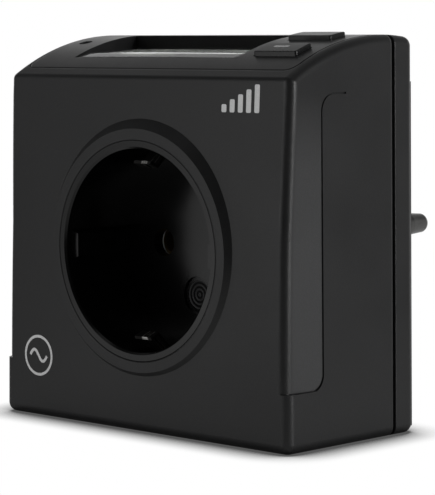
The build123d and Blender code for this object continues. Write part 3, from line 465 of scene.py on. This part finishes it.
def board_lacquer():
    """Green solder lacquer over copper tracks, with tinned pads in rows."""
    material, tree, shader, skin = start_material("board_lacquer", 1500.0, 90.0, Specular_IOR_Level=0.5)
    upright = add_node(tree, "ShaderNodeMapping", Vector=object_place(tree), Rotation=(math.radians(90), 0.0, 0.0))
    black, white = (0, 0, 0, 1), (1, 1, 1, 1)
    tracks = add_node(tree, "ShaderNodeTexBrick", Vector=upright.outputs["Vector"], Color1=black, Color2=black,
                      Mortar=white, Scale=260.0, Mortar_Size=0.03)
    tracks.offset = 0.37
    cells = add_node(tree, "ShaderNodeTexVoronoi", Vector=object_place(tree), Scale=330.0, Randomness=0.35)
    pads = map_node(tree, cells.outputs["Distance"], 0.16, 0.19, 1.0, 0.0)
    lacquer = mix_colour(tree, skin["Patch"], (0.010, 0.085, 0.035), (0.016, 0.125, 0.050))
    traced = mix_colour(tree, times(tree, tracks.outputs["Color"], 0.75), lacquer, (0.050, 0.230, 0.080))
    tinned = mix_colour(tree, pads, traced, (0.62, 0.61, 0.58))
    height = plus(tree, times(tree, tracks.outputs["Color"], 0.8), pads)
    finish_surface(tree, shader, tinned, patchy(tree, skin, 0.26, 0.42), height, 0.4, 0.04, times(tree, pads, 0.9))
    return material


def from_middle(tree, node, axis):
    """Distance along one axis from the middle of a CAD node, in metres."""
    low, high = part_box(node)
    at = "XYZ".index(axis)
    return away_from(tree, split_place(tree)[axis], (low[at] + high[at]) / 2)


def chip_body():
    """Matt black moulding with tinned legs on two sides."""
    material, tree, shader, skin = start_material("chip_body", 3600.0, 160.0)
    legs = map_node(tree, from_middle(tree, "metering_chip", "Z"), 3.76 * MM, 3.78 * MM)
    moulding = mix_colour(tree, skin["Patch"], (0.012, 0.012, 0.013), (0.028, 0.028, 0.029))
    colour = mix_colour(tree, legs, moulding, (0.66, 0.65, 0.62))
    finish_surface(tree, shader, colour, patchy(tree, skin, 0.5, 0.7), skin["Height"], 0.3, 0.05, legs)
    return material


def can_sleeve():
    """Dark blue shrink sleeve with a pale stripe, over a bare aluminium end."""
    material, tree, shader, skin = start_material("can_sleeve", 2200.0, 140.0)
    low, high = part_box("smoothing_capacitor")
    length = high.y - low.y
    place = split_place(tree)
    end = map_node(tree, away_from(tree, place["Y"], low.y), length - 0.05 * MM, length - 0.02 * MM)
    stripe = map_node(tree, away_from(tree, place["Z"], high.z), 0.55 * MM, 0.60 * MM, 1.0, 0.0)
    sleeve = mix_colour(tree, skin["Patch"], (0.010, 0.018, 0.060), (0.016, 0.028, 0.085))
    striped = mix_colour(tree, stripe, sleeve, (0.55, 0.57, 0.60))
    colour = mix_colour(tree, end, striped, (0.70, 0.70, 0.71))
    finish_surface(tree, shader, colour, patchy(tree, skin, 0.24, 0.38), skin["Height"], 0.1, 0.03, end)
    return material


def cell_sleeve():
    """Green sleeve of the backup cells with bare metal ends."""
    material, tree, shader, skin = start_material("cell_sleeve", 1800.0, 120.0)
    radius = span(tree, *(from_middle(tree, "backup_cells", axis) for axis in "YZ"))
    ends = map_node(tree, radius, 4.35 * MM, 4.45 * MM, 1.0, 0.0)
    sleeve = mix_colour(tree, skin["Patch"], (0.020, 0.150, 0.070), (0.035, 0.205, 0.095))
    colour = mix_colour(tree, ends, sleeve, (0.60, 0.59, 0.56))
    finish_surface(tree, shader, colour, patchy(tree, skin, 0.25, 0.42), skin["Height"], 0.12, 0.03, ends)
    return material


def banded_resistor():
    """Pale blue lacquered resistor with its colour bands and tinned leads."""
    material, tree, shader, skin = start_material("banded_resistor", 2000.0, 150.0)
    away = from_middle(tree, "fuse_resistor", "Z")
    colour = mix_colour(tree, skin["Patch"], (0.15, 0.30, 0.36), (0.20, 0.37, 0.43))
    for start, end, tone in ((0.7, 1.5, (0.16, 0.05, 0.015)), (2.6, 3.4, (0.60, 0.42, 0.04))):
        band = times(tree, map_node(tree, away, start * MM, (start + 0.02) * MM),
                     map_node(tree, away, end * MM, (end + 0.02) * MM, 1.0, 0.0))
        colour = mix_colour(tree, band, colour, tone)
    leads = map_node(tree, away, 5.48 * MM, 5.52 * MM)
    colour = mix_colour(tree, leads, colour, (0.68, 0.67, 0.64))
    finish_surface(tree, shader, colour, patchy(tree, skin, 0.3, 0.46), skin["Height"], 0.15, 0.04, leads)
    return material


def ribbon_film():
    """Flat grey cable with the fine grooves between its wires."""
    material, tree, shader, skin = start_material("ribbon_film", 1800.0, 110.0)
    wires = add_node(tree, "ShaderNodeTexWave", Vector=object_place(tree), Scale=157.0).outputs["Fac"]
    base = mix_colour(tree, skin["Patch"], (0.30, 0.30, 0.29), (0.40, 0.40, 0.39))
    colour = mix_colour(tree, times(tree, wires, 0.4), base, (0.18, 0.18, 0.18))
    finish_surface(tree, shader, colour, patchy(tree, skin, 0.42, 0.6), wires, 0.5, 0.1)
    return material


def printed_ink(name, tone):
    """Thin screen print with slightly uneven cover."""
    material, tree, shader, skin = start_material(name, 5200.0, 300.0)
    pale = tuple(value * 1.18 for value in tone)
    colour = mix_colour(tree, skin["Speckle"], tone, pale)
    finish_surface(tree, shader, colour, patchy(tree, skin, 0.5, 0.66), skin["Height"], 0.1, 0.03)
    return material


def screw_painted_dark():
    """Screw painted near-black as painted shade on the socket's floor, with turned rings on its head."""
    material, tree, shader, skin = start_material("socket_screw_painted_dark", 2400.0, 200.0, Metallic=1.0)
    radius = span(tree, *(from_middle(tree, "socket_screw", axis) for axis in "XZ"))
    rings = math_node(tree, "SINE", times(tree, radius, 7200.0))
    tone = times(tree, plus(tree, rings, 1.0), 0.5)
    # Painted shade: the head's tones between its rings stay near black.
    shade = mix_colour(tree, tone, (0.006, 0.006, 0.0062), (0.045, 0.045, 0.046))
    colour = mix_colour(tree, times(tree, skin["Patch"], 0.4), shade, (0.02, 0.02, 0.02))
    finish_surface(tree, shader, colour, patchy(tree, skin, 0.34, 0.46), rings, 0.3, 0.08)
    return material


def shaded_clip_with_painted_glint():
    """Tinned clip darkened all over as painted shade, with a painted glint on a ragged patch near its middle."""
    material, tree, shader, skin = start_material("shaded_clip_with_painted_glint", 2100.0, 170.0, Metallic=1.0)
    aside = away_from(tree, split_place(tree)["X"], 0.55 * MM)
    ragged = plus(tree, aside, times(tree, skin["Patch"], 0.6 * MM))
    # Painted glint: a bright patch near the clip's middle, with a ragged edge.
    painted_glint = map_node(tree, ragged, 0.75 * MM, 1.15 * MM, 1.0, 0.0)
    # Painted shade: the tin gets a near-black colour so that its reflection stays dim.
    shaded_tin = mix_colour(tree, skin["Patch"], (0.018, 0.018, 0.018), (0.050, 0.049, 0.047))
    colour = mix_colour(tree, painted_glint, shaded_tin, (0.74, 0.73, 0.70))
    finish_surface(tree, shader, colour, map_node(tree, painted_glint, 0.0, 1.0, 0.55, 0.22), skin["Height"], 0.15, 0.04)
    return material


def make_finishes():
    """One finish for each material slot of the CAD model."""
    return {
        "shell": moulded_plastic("shell_plastic", (0.0042, 0.0043, 0.0045), (0.0098, 0.0099, 0.0102), 0.37,
                                 spread=0.05, specular=0.42, bump=0.24, dust=0.02, seam_edges=True,
                                 grip_tone=(0.0235, 0.0238, 0.0245)),
        "panel": moulded_plastic("panel_plastic", (0.0040, 0.0041, 0.0043), (0.0085, 0.0086, 0.0089), 0.31,
                                 spread=0.05, grain=4200.0, bump=0.14, specular=0.45, dust=0.02, seam_edges=True,
                                 shaded_rough_window=True),
        "key": moulded_plastic("key_plastic", (0.0045, 0.0046, 0.0048), (0.0085, 0.0086, 0.0088), 0.30,
                               spread=0.05, grain=4600.0, bump=0.08, specular=0.45, dust=0.02),
        "clear_lens": clear_window(),
        "display_glass": display_glass(),
        "white_plastic": moulded_plastic("white_plastic", (0.55, 0.55, 0.53), (0.66, 0.66, 0.64), 0.5, bump=0.15,
                                         dust=0.02),
        "contact_rubber": moulded_plastic("contact_rubber", (0.030, 0.029, 0.030), (0.060, 0.058, 0.058), 0.72,
                                          grain=1700.0),
        "board": board_lacquer(),
        "chip": chip_body(),
        "screw_steel": brushed_metal("screw_steel", (0.48, 0.48, 0.485), (0.64, 0.64, 0.645), 0.34),
        "switch_body": moulded_plastic("switch_body", (0.020, 0.020, 0.021), (0.042, 0.042, 0.043), 0.42),
        "nickel": brushed_metal("nickel_plate", (0.46, 0.45, 0.43), (0.66, 0.65, 0.62), 0.27),
        "contact_brass": brushed_metal("contact_brass", (0.17, 0.118, 0.046), (0.27, 0.19, 0.08), 0.40),
        "shunt_alloy": brushed_metal("shunt_alloy", (0.38, 0.26, 0.19), (0.50, 0.36, 0.27), 0.38),
        "capacitor_film": moulded_plastic("capacitor_film", (0.42, 0.28, 0.045), (0.53, 0.37, 0.07), 0.36,
                                          grain=1500.0, bump=0.12),
        "capacitor_can": can_sleeve(),
        "disc_lacquer": moulded_plastic("disc_lacquer", (0.020, 0.060, 0.170), (0.035, 0.090, 0.235), 0.34,
                                        grain=1300.0, bump=0.2),
        "resistor_body": banded_resistor(),
        "cell_sleeve": cell_sleeve(),
        "ribbon": ribbon_film(),
    }


FINISHES = make_finishes()
for cad_node in nodes.values():
    for index, slot in enumerate(cad_node.material_slots):
        slot.link = "DATA"
        cad_node.data.materials[index] = FINISHES[slot.material.name.split(".")[0]]


def refinish(name, material):
    """Give one CAD node a finish of its own."""
    for index in range(len(nodes[name].material_slots)):
        nodes[name].data.materials[index] = material


# Painted shade: the pins' nickel is darkened far below plated metal, to stand for the dark surroundings that they
# mirror.
SHADED_PIN_METAL = brushed_metal("pin_metal_painted_dark", (0.15, 0.15, 0.148), (0.26, 0.258, 0.25), 0.26)
# Painted shade: the socket's bowl gets a near-black plastic that stands for the shade inside it.
SHADED_SOCKET_PLASTIC = moulded_plastic("socket_plastic_painted_dark", (0.0006, 0.0006, 0.0006), (0.0018, 0.0018, 0.0018), 0.17,
                                 spread=0.03, grain=4600.0, bump=0.07, specular=0.46, dust=0.0, smudge=0.03)
refinish("socket_insert", SHADED_SOCKET_PLASTIC)
refinish("socket_screw", screw_painted_dark())
refinish("socket_earth_clip", shaded_clip_with_painted_glint())
refinish("live_pin", SHADED_PIN_METAL)
refinish("neutral_pin", SHADED_PIN_METAL)

INK = printed_ink("grey_ink", (0.36, 0.36, 0.36))
RUBBED_INK = printed_ink("rubbed_ink", (0.20, 0.20, 0.20))
LIT_SEGMENT = printed_ink("lit_segment", (0.016, 0.018, 0.016))
IDLE_SEGMENT = printed_ink("idle_segment", (0.185, 0.205, 0.165))


# ---- meshes ----


def mesh_object(name, verts, faces, material, smooth=False):
    mesh = bpy.data.meshes.new(name)
    mesh.from_pydata([tuple(v) for v in verts], [], faces)
    mesh.materials.append(material)
    mesh.polygons.foreach_set("use_smooth", [smooth] * len(mesh.polygons))
    mesh.update()
    return add_object(name, mesh)


def closed_object(name, verts, faces, material, smooth=False, merge=True):
    """Mesh whose doubled points are merged and whose faces are then turned outwards."""
    piece = mesh_object(name, verts, faces, material, smooth)
    shape = bmesh.new()
    shape.from_mesh(piece.data)
    if merge:
        bmesh.ops.remove_doubles(shape, verts=shape.verts, dist=1e-7)
    bmesh.ops.recalc_face_normals(shape, faces=shape.faces)
    shape.to_mesh(piece.data)
    shape.free()
    return piece


def plates_object(name, outlines, place, thickness, material):
    """Thin plates over flat outlines: place(u, v, rise) puts a point over the surface that carries them."""
    verts = []
    faces = []
    for outline in outlines:
        start = len(verts)
        count = len(outline)
        verts += [place(u, v, rise) for rise in (0.0, thickness) for u, v in outline]
        faces += [tuple(range(start + count, start + 2 * count)), tuple(reversed(range(start, start + count)))]
        for here in range(count):
            after = (here + 1) % count
            faces.append(tuple(start + index for index in (here, after, count + after, count + here)))
    return closed_object(name, verts, faces, material, merge=False)


def rounded_bar(left, low, width, height, corner, steps=5):
    """Outline of a bar with rounded corners."""
    right, top = left + width - corner, low + height - corner
    left, low = left + corner, low + corner
    points = []
    for quarter, (u, v) in enumerate(((right, top), (left, top), (left, low), (right, low))):
        for step in range(steps + 1):
            angle = math.radians(90 * quarter + 90 * step / steps)
            points.append((u + corner * math.cos(angle), v + corner * math.sin(angle)))
    return points


def line_plates(count, edges, corner):
    """Outlines of the short plates of a printed line: corner(share, edge) is a point on one of its two edges."""
    near, far = edges
    return [
        [corner(step / count, near), corner((step + 1) / count, near), corner((step + 1) / count, far),
         corner(step / count, far)]
        for step in range(count)
    ]


# ---- prints on the face and the keys ----


def face_print(u, v, rise):
    return on_face(u, v, PRINT_GAP + rise)


def key_print(u, v, rise):
    return on_roof(u, v, KEY_RISE + PRINT_GAP + rise)


def make_level_bars():
    """Generic level sign: five bars that grow to the right."""
    left, foot, pitch, width, lowest, growth = 21.5, 63.4, 2.1, 1.25, 1.5, 0.95
    bars = [rounded_bar(left + pitch * step, foot, width, lowest + growth * step, 0.3) for step in range(5)]
    return plates_object("level_bars", bars, face_print, PRINT_THICKNESS, INK)


def make_current_sign():
    """Generic sign for alternating current: a wave in a ring."""
    centre_x, centre_height = -29.2, 12.6
    radius, ring_line = 4.2, 0.55
    wave_length, wave_height, wave_line = 5.0, 1.15, 0.6

    def on_ring(share, reach):
        angle = 2 * math.pi * share
        return centre_x + reach * math.cos(angle), centre_height + reach * math.sin(angle)

    def on_wave(share, side):
        angle = 2 * math.pi * share
        slope = math.cos(angle) * wave_height * 2 * math.pi / wave_length
        length = math.hypot(1.0, slope)
        x = centre_x + (share - 0.5) * wave_length - side * slope / length
        return x, centre_height + math.sin(angle) * wave_height + side / length

    outlines = line_plates(48, (radius, radius - ring_line), on_ring)
    outlines += line_plates(26, (-wave_line / 2, wave_line / 2), on_wave)
    return plates_object("current_sign", outlines, face_print, PRINT_THICKNESS, INK)


def make_key_mark(name, left, depth, width, height):
    """Short rubbed print on a key."""
    bar = rounded_bar(left, depth, width, height, 0.3)
    return plates_object(name, [bar], key_print, PRINT_THICKNESS, RUBBED_INK)


# ---- display ----


def make_crowned_lens():
    """Clear cover of the display, seated in the window: a bevelled front and a slight crown across."""
    across, along = 40, 44
    bevel, soft = 3.4, 0.5
    bevel_slope, fall_slope, crown = 0.210, 0.042, 0.10
    edge_width, edge_drop, edge_share = 0.35, 0.12, 0.012
    near, far = LENS_REACH
    width, length = 2 * LENS_HALF_WIDTH, far - near

    def rise(u, v):
        """Height of the top: up the bevel, down to the back, crowned across and rounded off at the edge."""
        reach = v * length
        rounding = max(0.0, min(reach, bevel + soft) - bevel + soft)
        on_bevel = min(reach, bevel + soft) - rounding**2 / (4 * soft)
        top = bevel_slope * on_bevel - fall_slope * reach + crown * (1 - (2 * u - 1) ** 2)
        edge = min(u * width, (1 - u) * width, v * length, (1 - v) * length)
        return top - edge_drop * max(0.0, 1 - edge / edge_width) ** 2

    def spread(index, count):
        """Even steps with a close one at either end, for the rounded edge."""
        if index in (0, count):
            return index / count
        return edge_share + (1 - 2 * edge_share) * (index - 1) / (count - 2)

    def layer(height):
        points = []
        for row in range(along + 1):
            for column in range(across + 1):
                u, v = spread(column, across), spread(row, along)
                x = WINDOW_X + (2 * u - 1) * LENS_HALF_WIDTH
                points.append(on_deck(x, near + v * length, height(u, v)))
        return points

    verts = layer(rise) + layer(lambda u, v: LENS_FOOT)
    start = len(verts) // 2
    row_size = across + 1
    faces = []
    for row in range(along):
        for column in range(across):
            here = row * row_size + column
            corners = (here, here + 1, here + row_size + 1, here + row_size)
            faces += [corners, tuple(start + index for index in reversed(corners))]
    rim = list(range(across))
    rim += [row * row_size + across for row in range(along)]
    rim += [along * row_size + column for column in range(across, 0, -1)]
    rim += [row * row_size for row in range(along, 0, -1)]
    for here, after in zip(rim, rim[1:] + rim[:1]):
        faces.append((here, start + here, start + after, after))
    lens = closed_object("crowned_lens", verts, faces, FINISHES["clear_lens"], smooth=True)
    lens.data.set_sharp_from_angle(angle=math.radians(40))
    return lens


# The seven segments of a digit: whether one lies level, where it stands across the digit, from 0 at the foot or the
# left to 1, and the shares of the digit at which it starts and ends.
SEGMENTS = {
    "top": (True, 1, 0.10, 0.90), "upper_right": (False, 1, 0.54, 0.95), "lower_right": (False, 1, 0.05, 0.46),
    "bottom": (True, 0, 0.10, 0.90), "lower_left": (False, 0, 0.05, 0.46), "upper_left": (False, 0, 0.54, 0.95),
    "middle": (True, 0.5, 0.12, 0.88),
}
SEGMENT_LINE = 0.20
DIGIT_LEAN = 0.10
DIGIT_LEFT = -18.4
LARGE_PITCH, LARGE_FOOT, LARGE_WIDTH, LARGE_HEIGHT = 7.4, 3.5, 5.0, 6.6
SMALL_PITCH, SMALL_FOOT, SMALL_WIDTH, SMALL_HEIGHT = 4.6, 11.3, 3.0, 3.5
# Places of the four large digits, then of the five small ones: left, foot, width, height.
DIGITS = [(DIGIT_LEFT + LARGE_PITCH * step, LARGE_FOOT, LARGE_WIDTH, LARGE_HEIGHT) for step in range(4)]
DIGITS += [(DIGIT_LEFT + SMALL_PITCH * step, SMALL_FOOT, SMALL_WIDTH, SMALL_HEIGHT) for step in range(5)]
ZERO_PLACES = (1, 2, 3, 6, 7, 8)


def glass_print(u, v, rise):
    return on_deck(u, v, GLASS_TOP + GLASS_PRINT_GAP + rise)


def segment_outline(left, low, width, height, segment):
    """One segment with pointed ends, leaning a little to the right."""
    level, across, start, end = segment
    thick = SEGMENT_LINE * width
    half = thick / 2
    if level:
        v = low + half + across * (height - thick)
        start, end = left + start * width, left + end * width
        points = [(start, v), (start + half, v - half), (end - half, v - half), (end, v), (end - half, v + half),
                  (start + half, v + half)]
    else:
        u = left + half + across * (width - thick)
        start, end = low + start * height, low + end * height
        points = [(u, start), (u + half, start + half), (u + half, end - half), (u, end), (u - half, end - half),
                  (u - half, start + half)]
    return [(u + DIGIT_LEAN * (v - low), v) for u, v in points]


def make_lit_segments():
    """Zeros that the display shows at rest, with the point of the large row."""
    zero = [segment for key, segment in SEGMENTS.items() if key != "middle"]
    outlines = [segment_outline(*DIGITS[place], segment) for place in ZERO_PLACES for segment in zero]
    outlines.append(rounded_bar(DIGIT_LEFT + 2 * LARGE_PITCH - 1.55, LARGE_FOOT, 0.9, 0.9, 0.25, 2))
    return plates_object("lit_segments", outlines, glass_print, 0.03, LIT_SEGMENT)


def make_idle_segments():
    """Faint segments that are switched off."""
    outlines = []
    for place, digit in enumerate(DIGITS):
        idle = [SEGMENTS["middle"]] if place in ZERO_PLACES else SEGMENTS.values()
        outlines += [segment_outline(*digit, segment) for segment in idle]
    return plates_object("idle_segments", outlines, glass_print, 0.02, IDLE_SEGMENT)


# ---- screws ----

AROUND = 24


def screw_profile(head_radius, head_height, shank_radius, length):
    """Radius and place along the screw, from the rim of the head's flat top down the thread to the tip."""
    flat = 0.62 * head_radius
    profile = [(flat, head_height)]
    for degrees in (75, 60, 45, 30, 15):
        angle = math.radians(degrees)
        shoulder = head_height * (0.35 + 0.65 * math.sin(angle))
        profile.append((flat + (head_radius - flat) * math.cos(angle), shoulder))
    profile += [(head_radius, 0.30 * head_height), (head_radius, 0.0), (shank_radius, 0.0)]
    tip = head_height - length
    pitch = 0.42 * shank_radius
    along = -0.5 * pitch
    while along > tip + 1.8 * shank_radius:
        profile += [(0.80 * shank_radius, along), (shank_radius, along - 0.5 * pitch)]
        along -= pitch
    return profile + [(0.12 * shank_radius, tip)]


def screw_body(head_radius, head_height, shank_radius, length):
    """Pan-head screw with a cross recess and a threaded shank, its head's foot in the plane y = 0."""
    verts = []
    faces = []
    rings = []
    for radius, along in screw_profile(head_radius, head_height, shank_radius, length):
        rings.append(len(verts))
        for step in range(AROUND):
            angle = 2 * math.pi * step / AROUND
            verts.append(Vector((radius * math.cos(angle), along, radius * math.sin(angle))) * MM)
    for upper, lower in zip(rings, rings[1:]):
        for step in range(AROUND):
            after = (step + 1) % AROUND
            faces.append((upper + step, upper + after, lower + after, lower + step))
    faces.append(tuple(rings[-1] + step for step in range(AROUND)))
    # The cross recess: an outline of twelve corners on the flat top, tapered down to a smaller one.
    arm, half = 0.50 * head_radius, 0.13 * head_radius
    corners = [(arm, -half), (arm, half), (half, half)]
    while len(corners) < 12:
        u, w = corners[-3]
        corners.append((-w, u))
    mouth = len(verts)
    floor = mouth + 12
    verts += [Vector((u, head_height, w)) * MM for u, w in corners]
    verts += [Vector((u * 0.55, 0.30 * head_height, w * 0.55)) * MM for u, w in corners]
    for step in range(12):
        after = (step + 1) % 12
        faces.append((mouth + step, mouth + after, floor + after, floor + step))
    faces.append(tuple(floor + step for step in range(12)))
    # The flat top between the ring and the recess's mouth, a quarter at a time.
    for quarter in range(4):
        outer = [rings[0] + (6 * quarter + step) % AROUND for step in range(7)]
        before, first, bend, last = (mouth + (3 * quarter + step) % 12 for step in range(4))
        faces += [(*outer[:4], bend, first), (*outer[3:], last, bend), (outer[0], first, before)]
    return verts, faces


def build_corner_tree():
    """Sets a screw at the four corners of an upright rectangle, each one turned its own way."""
    tree = bpy.data.node_groups.new("four_corners", "GeometryNodeTree")
    tree.interface.new_socket(name="Geometry", in_out="INPUT", socket_type="NodeSocketGeometry")
    sockets = {}
    for label in ("Across", "Rise", "Middle Height", "Depth", "Metal"):
        kind = "NodeSocketMaterial" if label == "Metal" else "NodeSocketFloat"
        sockets[label] = tree.interface.new_socket(name=label, in_out="INPUT", socket_type=kind).identifier
    tree.interface.new_socket(name="Geometry", in_out="OUTPUT", socket_type="NodeSocketGeometry")
    entry = tree.nodes.new("NodeGroupInput").outputs
    leave = tree.nodes.new("NodeGroupOutput").inputs
    grid = add_node(tree, "GeometryNodeMeshGrid", Size_X=entry["Across"], Size_Y=entry["Rise"], Vertices_X=2,
                    Vertices_Y=2)
    middle = add_node(tree, "ShaderNodeCombineXYZ", Y=entry["Depth"], Z=entry["Middle Height"])
    upright = add_node(tree, "GeometryNodeTransform", Geometry=grid.outputs["Mesh"],
                       Translation=middle.outputs["Vector"], Rotation=(math.radians(90), 0.0, 0.0))
    turn = tree.nodes.new("FunctionNodeRandomValue")
    turn.data_type = "FLOAT_VECTOR"
    turn.inputs["Min"].default_value = (0.0, -0.7, 0.0)
    turn.inputs["Max"].default_value = (0.0, 0.7, 0.0)
    turn.inputs["Seed"].default_value = 4
    spots = add_node(tree, "GeometryNodeInstanceOnPoints", Points=upright.outputs["Geometry"],
                     Instance=entry["Geometry"], Rotation=turn.outputs["Value"])
    real = add_node(tree, "GeometryNodeRealizeInstances", Geometry=spots.outputs["Instances"])
    finish = add_node(tree, "GeometryNodeSetMaterial", Geometry=real.outputs["Geometry"], Material=entry["Metal"])
    feed(tree, finish.outputs["Geometry"], leave["Geometry"])
    return tree, sockets


CORNER_TREE, CORNER_SOCKETS = build_corner_tree()


def make_screws(name, size, across, low, high, head_foot):
    """Four equal screws with their heads at the back, from the tree of the four corners."""
    verts, faces = screw_body(*size)
    single = closed_object(name + "_single", verts, faces, FINISHES["screw_steel"])
    modifier = single.modifiers.new("four_corners", "NODES")
    modifier.node_group = CORNER_TREE
    values = {"Across": 2 * across * MM, "Rise": (high - low) * MM, "Middle Height": (high + low) / 2 * MM,
              "Depth": head_foot * MM, "Metal": FINISHES["screw_steel"]}
    for label, value in values.items():
        modifier[CORNER_SOCKETS[label]] = value
    seen = single.evaluated_get(bpy.context.evaluated_depsgraph_get())
    mesh = bpy.data.meshes.new_from_object(seen)
    bpy.data.objects.remove(single)
    mesh.name = name
    return add_object(name, mesh)


# ---- the pieces on their bodies ----

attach(make_level_bars(), "meter")
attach(make_current_sign(), "meter")
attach(make_key_mark("front_key_mark", 25.4, 11.3, 3.8, 0.8), "front_button")
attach(make_key_mark("rear_key_mark", 25.2, 22.4, 4.4, 0.9), "rear_button")
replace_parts(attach(make_crowned_lens(), "meter"), "display_lens")
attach(make_lit_segments(), "meter")
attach(make_idle_segments(), "meter")

# Head radius, head height, shank radius and length of a screw, then the rectangle that its set stands on.
HOUSING_SCREWS = make_screws("cross_housing_screws", (2.5, 1.8, 1.45, 18.8), 33.0, 7.2, 58.5, -5.4)
BOARD_SCREWS = make_screws("cross_board_screws", (1.9, 1.3, 1.05, 10.3), 26.0, 9.5, 54.5, -16.2)
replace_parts(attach(HOUSING_SCREWS, "meter"), "housing_screws")
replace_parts(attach(BOARD_SCREWS, "meter"), "main_board_screws")


# ---- floor, surroundings and lamps ----

# Strength of the studio's white surroundings by direction, in degrees from the front towards the right.
STUDIO_RING = [
    (-180, 0.80), (-150, 1.00), (-112, 0.90), (-84, 0.30), (-66, 0.08), (-54, 0.08), (-46, 0.30), (-38, 0.92),
    (-20, 0.95), (-6, 0.30), (10, 0.03), (62, 0.02), (78, 0.30), (96, 0.95), (116, 0.56), (136, 0.15), (158, 0.42),
    (180, 0.80),
]
AMBIENT_LEVEL = 0.45
NEAR_FLOOR_LEVEL = 0.38
FLOOR_REACH = 6.0
FLOOR_HEIGHT = -0.00003
METER_MIDDLE = (0, 0, 0.04)


def build_studio_group():
    """Strength of the surroundings in a direction: two bright sides with a dark one between, dimmer overhead."""
    group, entry, leave = start_group("studio_ring", {"Direction": (0.0, 0.0, 0.0)}, ("Strength",))
    split = add_node(group, "ShaderNodeSeparateXYZ", Vector=entry["Direction"]).outputs
    turn = math_node(group, "ARCTAN2", split["X"], times(group, split["Y"], -1.0))
    ramp = add_node(group, "ShaderNodeValToRGB", Fac=map_node(group, turn, -math.pi, math.pi))
    ramp.color_ramp.interpolation = "B_SPLINE"
    stops = ramp.color_ramp.elements
    stops.remove(stops[1])
    for index, (degrees, strength) in enumerate(STUDIO_RING):
        place = (degrees + 180) / 360
        stop = stops.new(place) if index else stops[0]
        stop.position = place
        stop.color = (strength, strength, strength, 1)
    unit = add_node(group, "ShaderNodeVectorMath", Vector=entry["Direction"])
    unit.operation = "NORMALIZE"
    rise = add_node(group, "ShaderNodeSeparateXYZ", Vector=unit.outputs["Vector"]).outputs["Z"]
    overhead = map_node(group, rise, 0.22, 0.48, 1.0, 0.25)
    feed(group, times(group, ramp.outputs["Color"], overhead), leave["Strength"])
    return group


STUDIO = build_studio_group()


def path_rays(tree):
    """1 for what the camera sees straight or through something clear, and 1 for what gloss shows."""
    path = tree.nodes.new("ShaderNodeLightPath").outputs
    straight = math_node(tree, "ADD", path["Is Camera Ray"], path["Is Transmission Ray"], clamp=True)
    return straight, path["Is Glossy Ray"]


def add_floor():
    """White floor: white to the camera, dimmed only where the meter keeps the light off it."""
    material = bpy.data.materials.new("studio_floor")
    material.use_nodes = True
    tree = material.node_tree
    tree.nodes.clear()
    plain = add_node(tree, "ShaderNodeBsdfDiffuse", Color=(0.80, 0.80, 0.80, 1))
    shaded = add_node(tree, "ShaderNodeAmbientOcclusion", Distance=0.0098)
    shaded.samples = 24
    open_share = map_node(tree, shaded.outputs["AO"], 0.50, 0.97, 0.09, 1.0)
    straight, glossy = path_rays(tree)
    place = object_place(tree)
    reach_out = add_node(tree, "ShaderNodeVectorMath", Vector=place)
    reach_out.operation = "LENGTH"
    far = map_node(tree, reach_out.outputs["Value"], 0.06, 0.24)
    near_part = times(tree, minus(tree, 1.0, far), NEAR_FLOOR_LEVEL)
    far_part = times(tree, place_group(tree, STUDIO, Direction=place)["Strength"], far)
    in_gloss = times(tree, times(tree, plus(tree, near_part, far_part), open_share), glossy)
    level = plus(tree, times(tree, open_share, straight), in_gloss)
    glow = add_node(tree, "ShaderNodeEmission", Color=level)
    mixed = tree.nodes.new("ShaderNodeMixShader")
    seen = math_node(tree, "ADD", straight, glossy, clamp=True)
    for value, socket in zip((seen, plain.outputs[0], glow.outputs[0]), mixed.inputs):
        feed(tree, value, socket)
    add_node(tree, "ShaderNodeOutputMaterial", Surface=mixed.outputs[0])
    corners = [(x * FLOOR_REACH, y * FLOOR_REACH, FLOOR_HEIGHT) for x, y in ((-1, -1), (1, -1), (1, 1), (-1, 1))]
    mesh_object("floor", corners, [(0, 1, 2, 3)], material)


def add_world():
    """Surroundings: white to the camera, the studio's ring in gloss and a plain level for all other light."""
    world = bpy.data.worlds.new("studio")
    bpy.context.scene.world = world
    world.use_nodes = True
    tree = world.node_tree
    straight, glossy = path_rays(tree)
    direction = tree.nodes.new("ShaderNodeTexCoord").outputs["Generated"]
    in_gloss = times(tree, place_group(tree, STUDIO, Direction=direction)["Strength"], glossy)
    seen = math_node(tree, "ADD", straight, glossy, clamp=True)
    rest = math_node(tree, "SUBTRACT", 1.0, seen, clamp=True)
    level = plus(tree, plus(tree, straight, in_gloss), times(tree, rest, AMBIENT_LEVEL))
    feed(tree, level, tree.nodes["Background"].inputs["Color"])


def add_lamp(name, place, aim, width, height, power, in_gloss=False):
    data = bpy.data.lights.new(name, "AREA")
    data.shape = "RECTANGLE"
    data.size = width
    data.size_y = height
    data.energy = power
    lamp = add_object(name, data)
    lamp.visible_glossy = in_gloss
    lamp.location = place
    lamp.rotation_euler = (Vector(aim) - Vector(place)).to_track_quat("-Z", "Y").to_euler()


add_floor()
add_world()
add_lamp("left_lamp", (-0.75, -0.85, 0.55), METER_MIDDLE, 0.5, 0.8, 6.0)
add_lamp("right_lamp", (1.05, 0.40, 0.50), METER_MIDDLE, 0.5, 0.8, 5.0)
add_lamp("edge_lamp", (1.15, 0.16, 0.10), METER_MIDDLE, 0.10, 1.1, 9.0, in_gloss=True)
add_lamp("front_card", (-0.17, -0.56, 0.08), (0.02, -0.04, 0.04), 0.26, 0.6, 0.34, in_gloss=True)
add_lamp("top_lamp", (-0.3, 0.5, 1.1), METER_MIDDLE, 0.7, 0.7, 4.0)
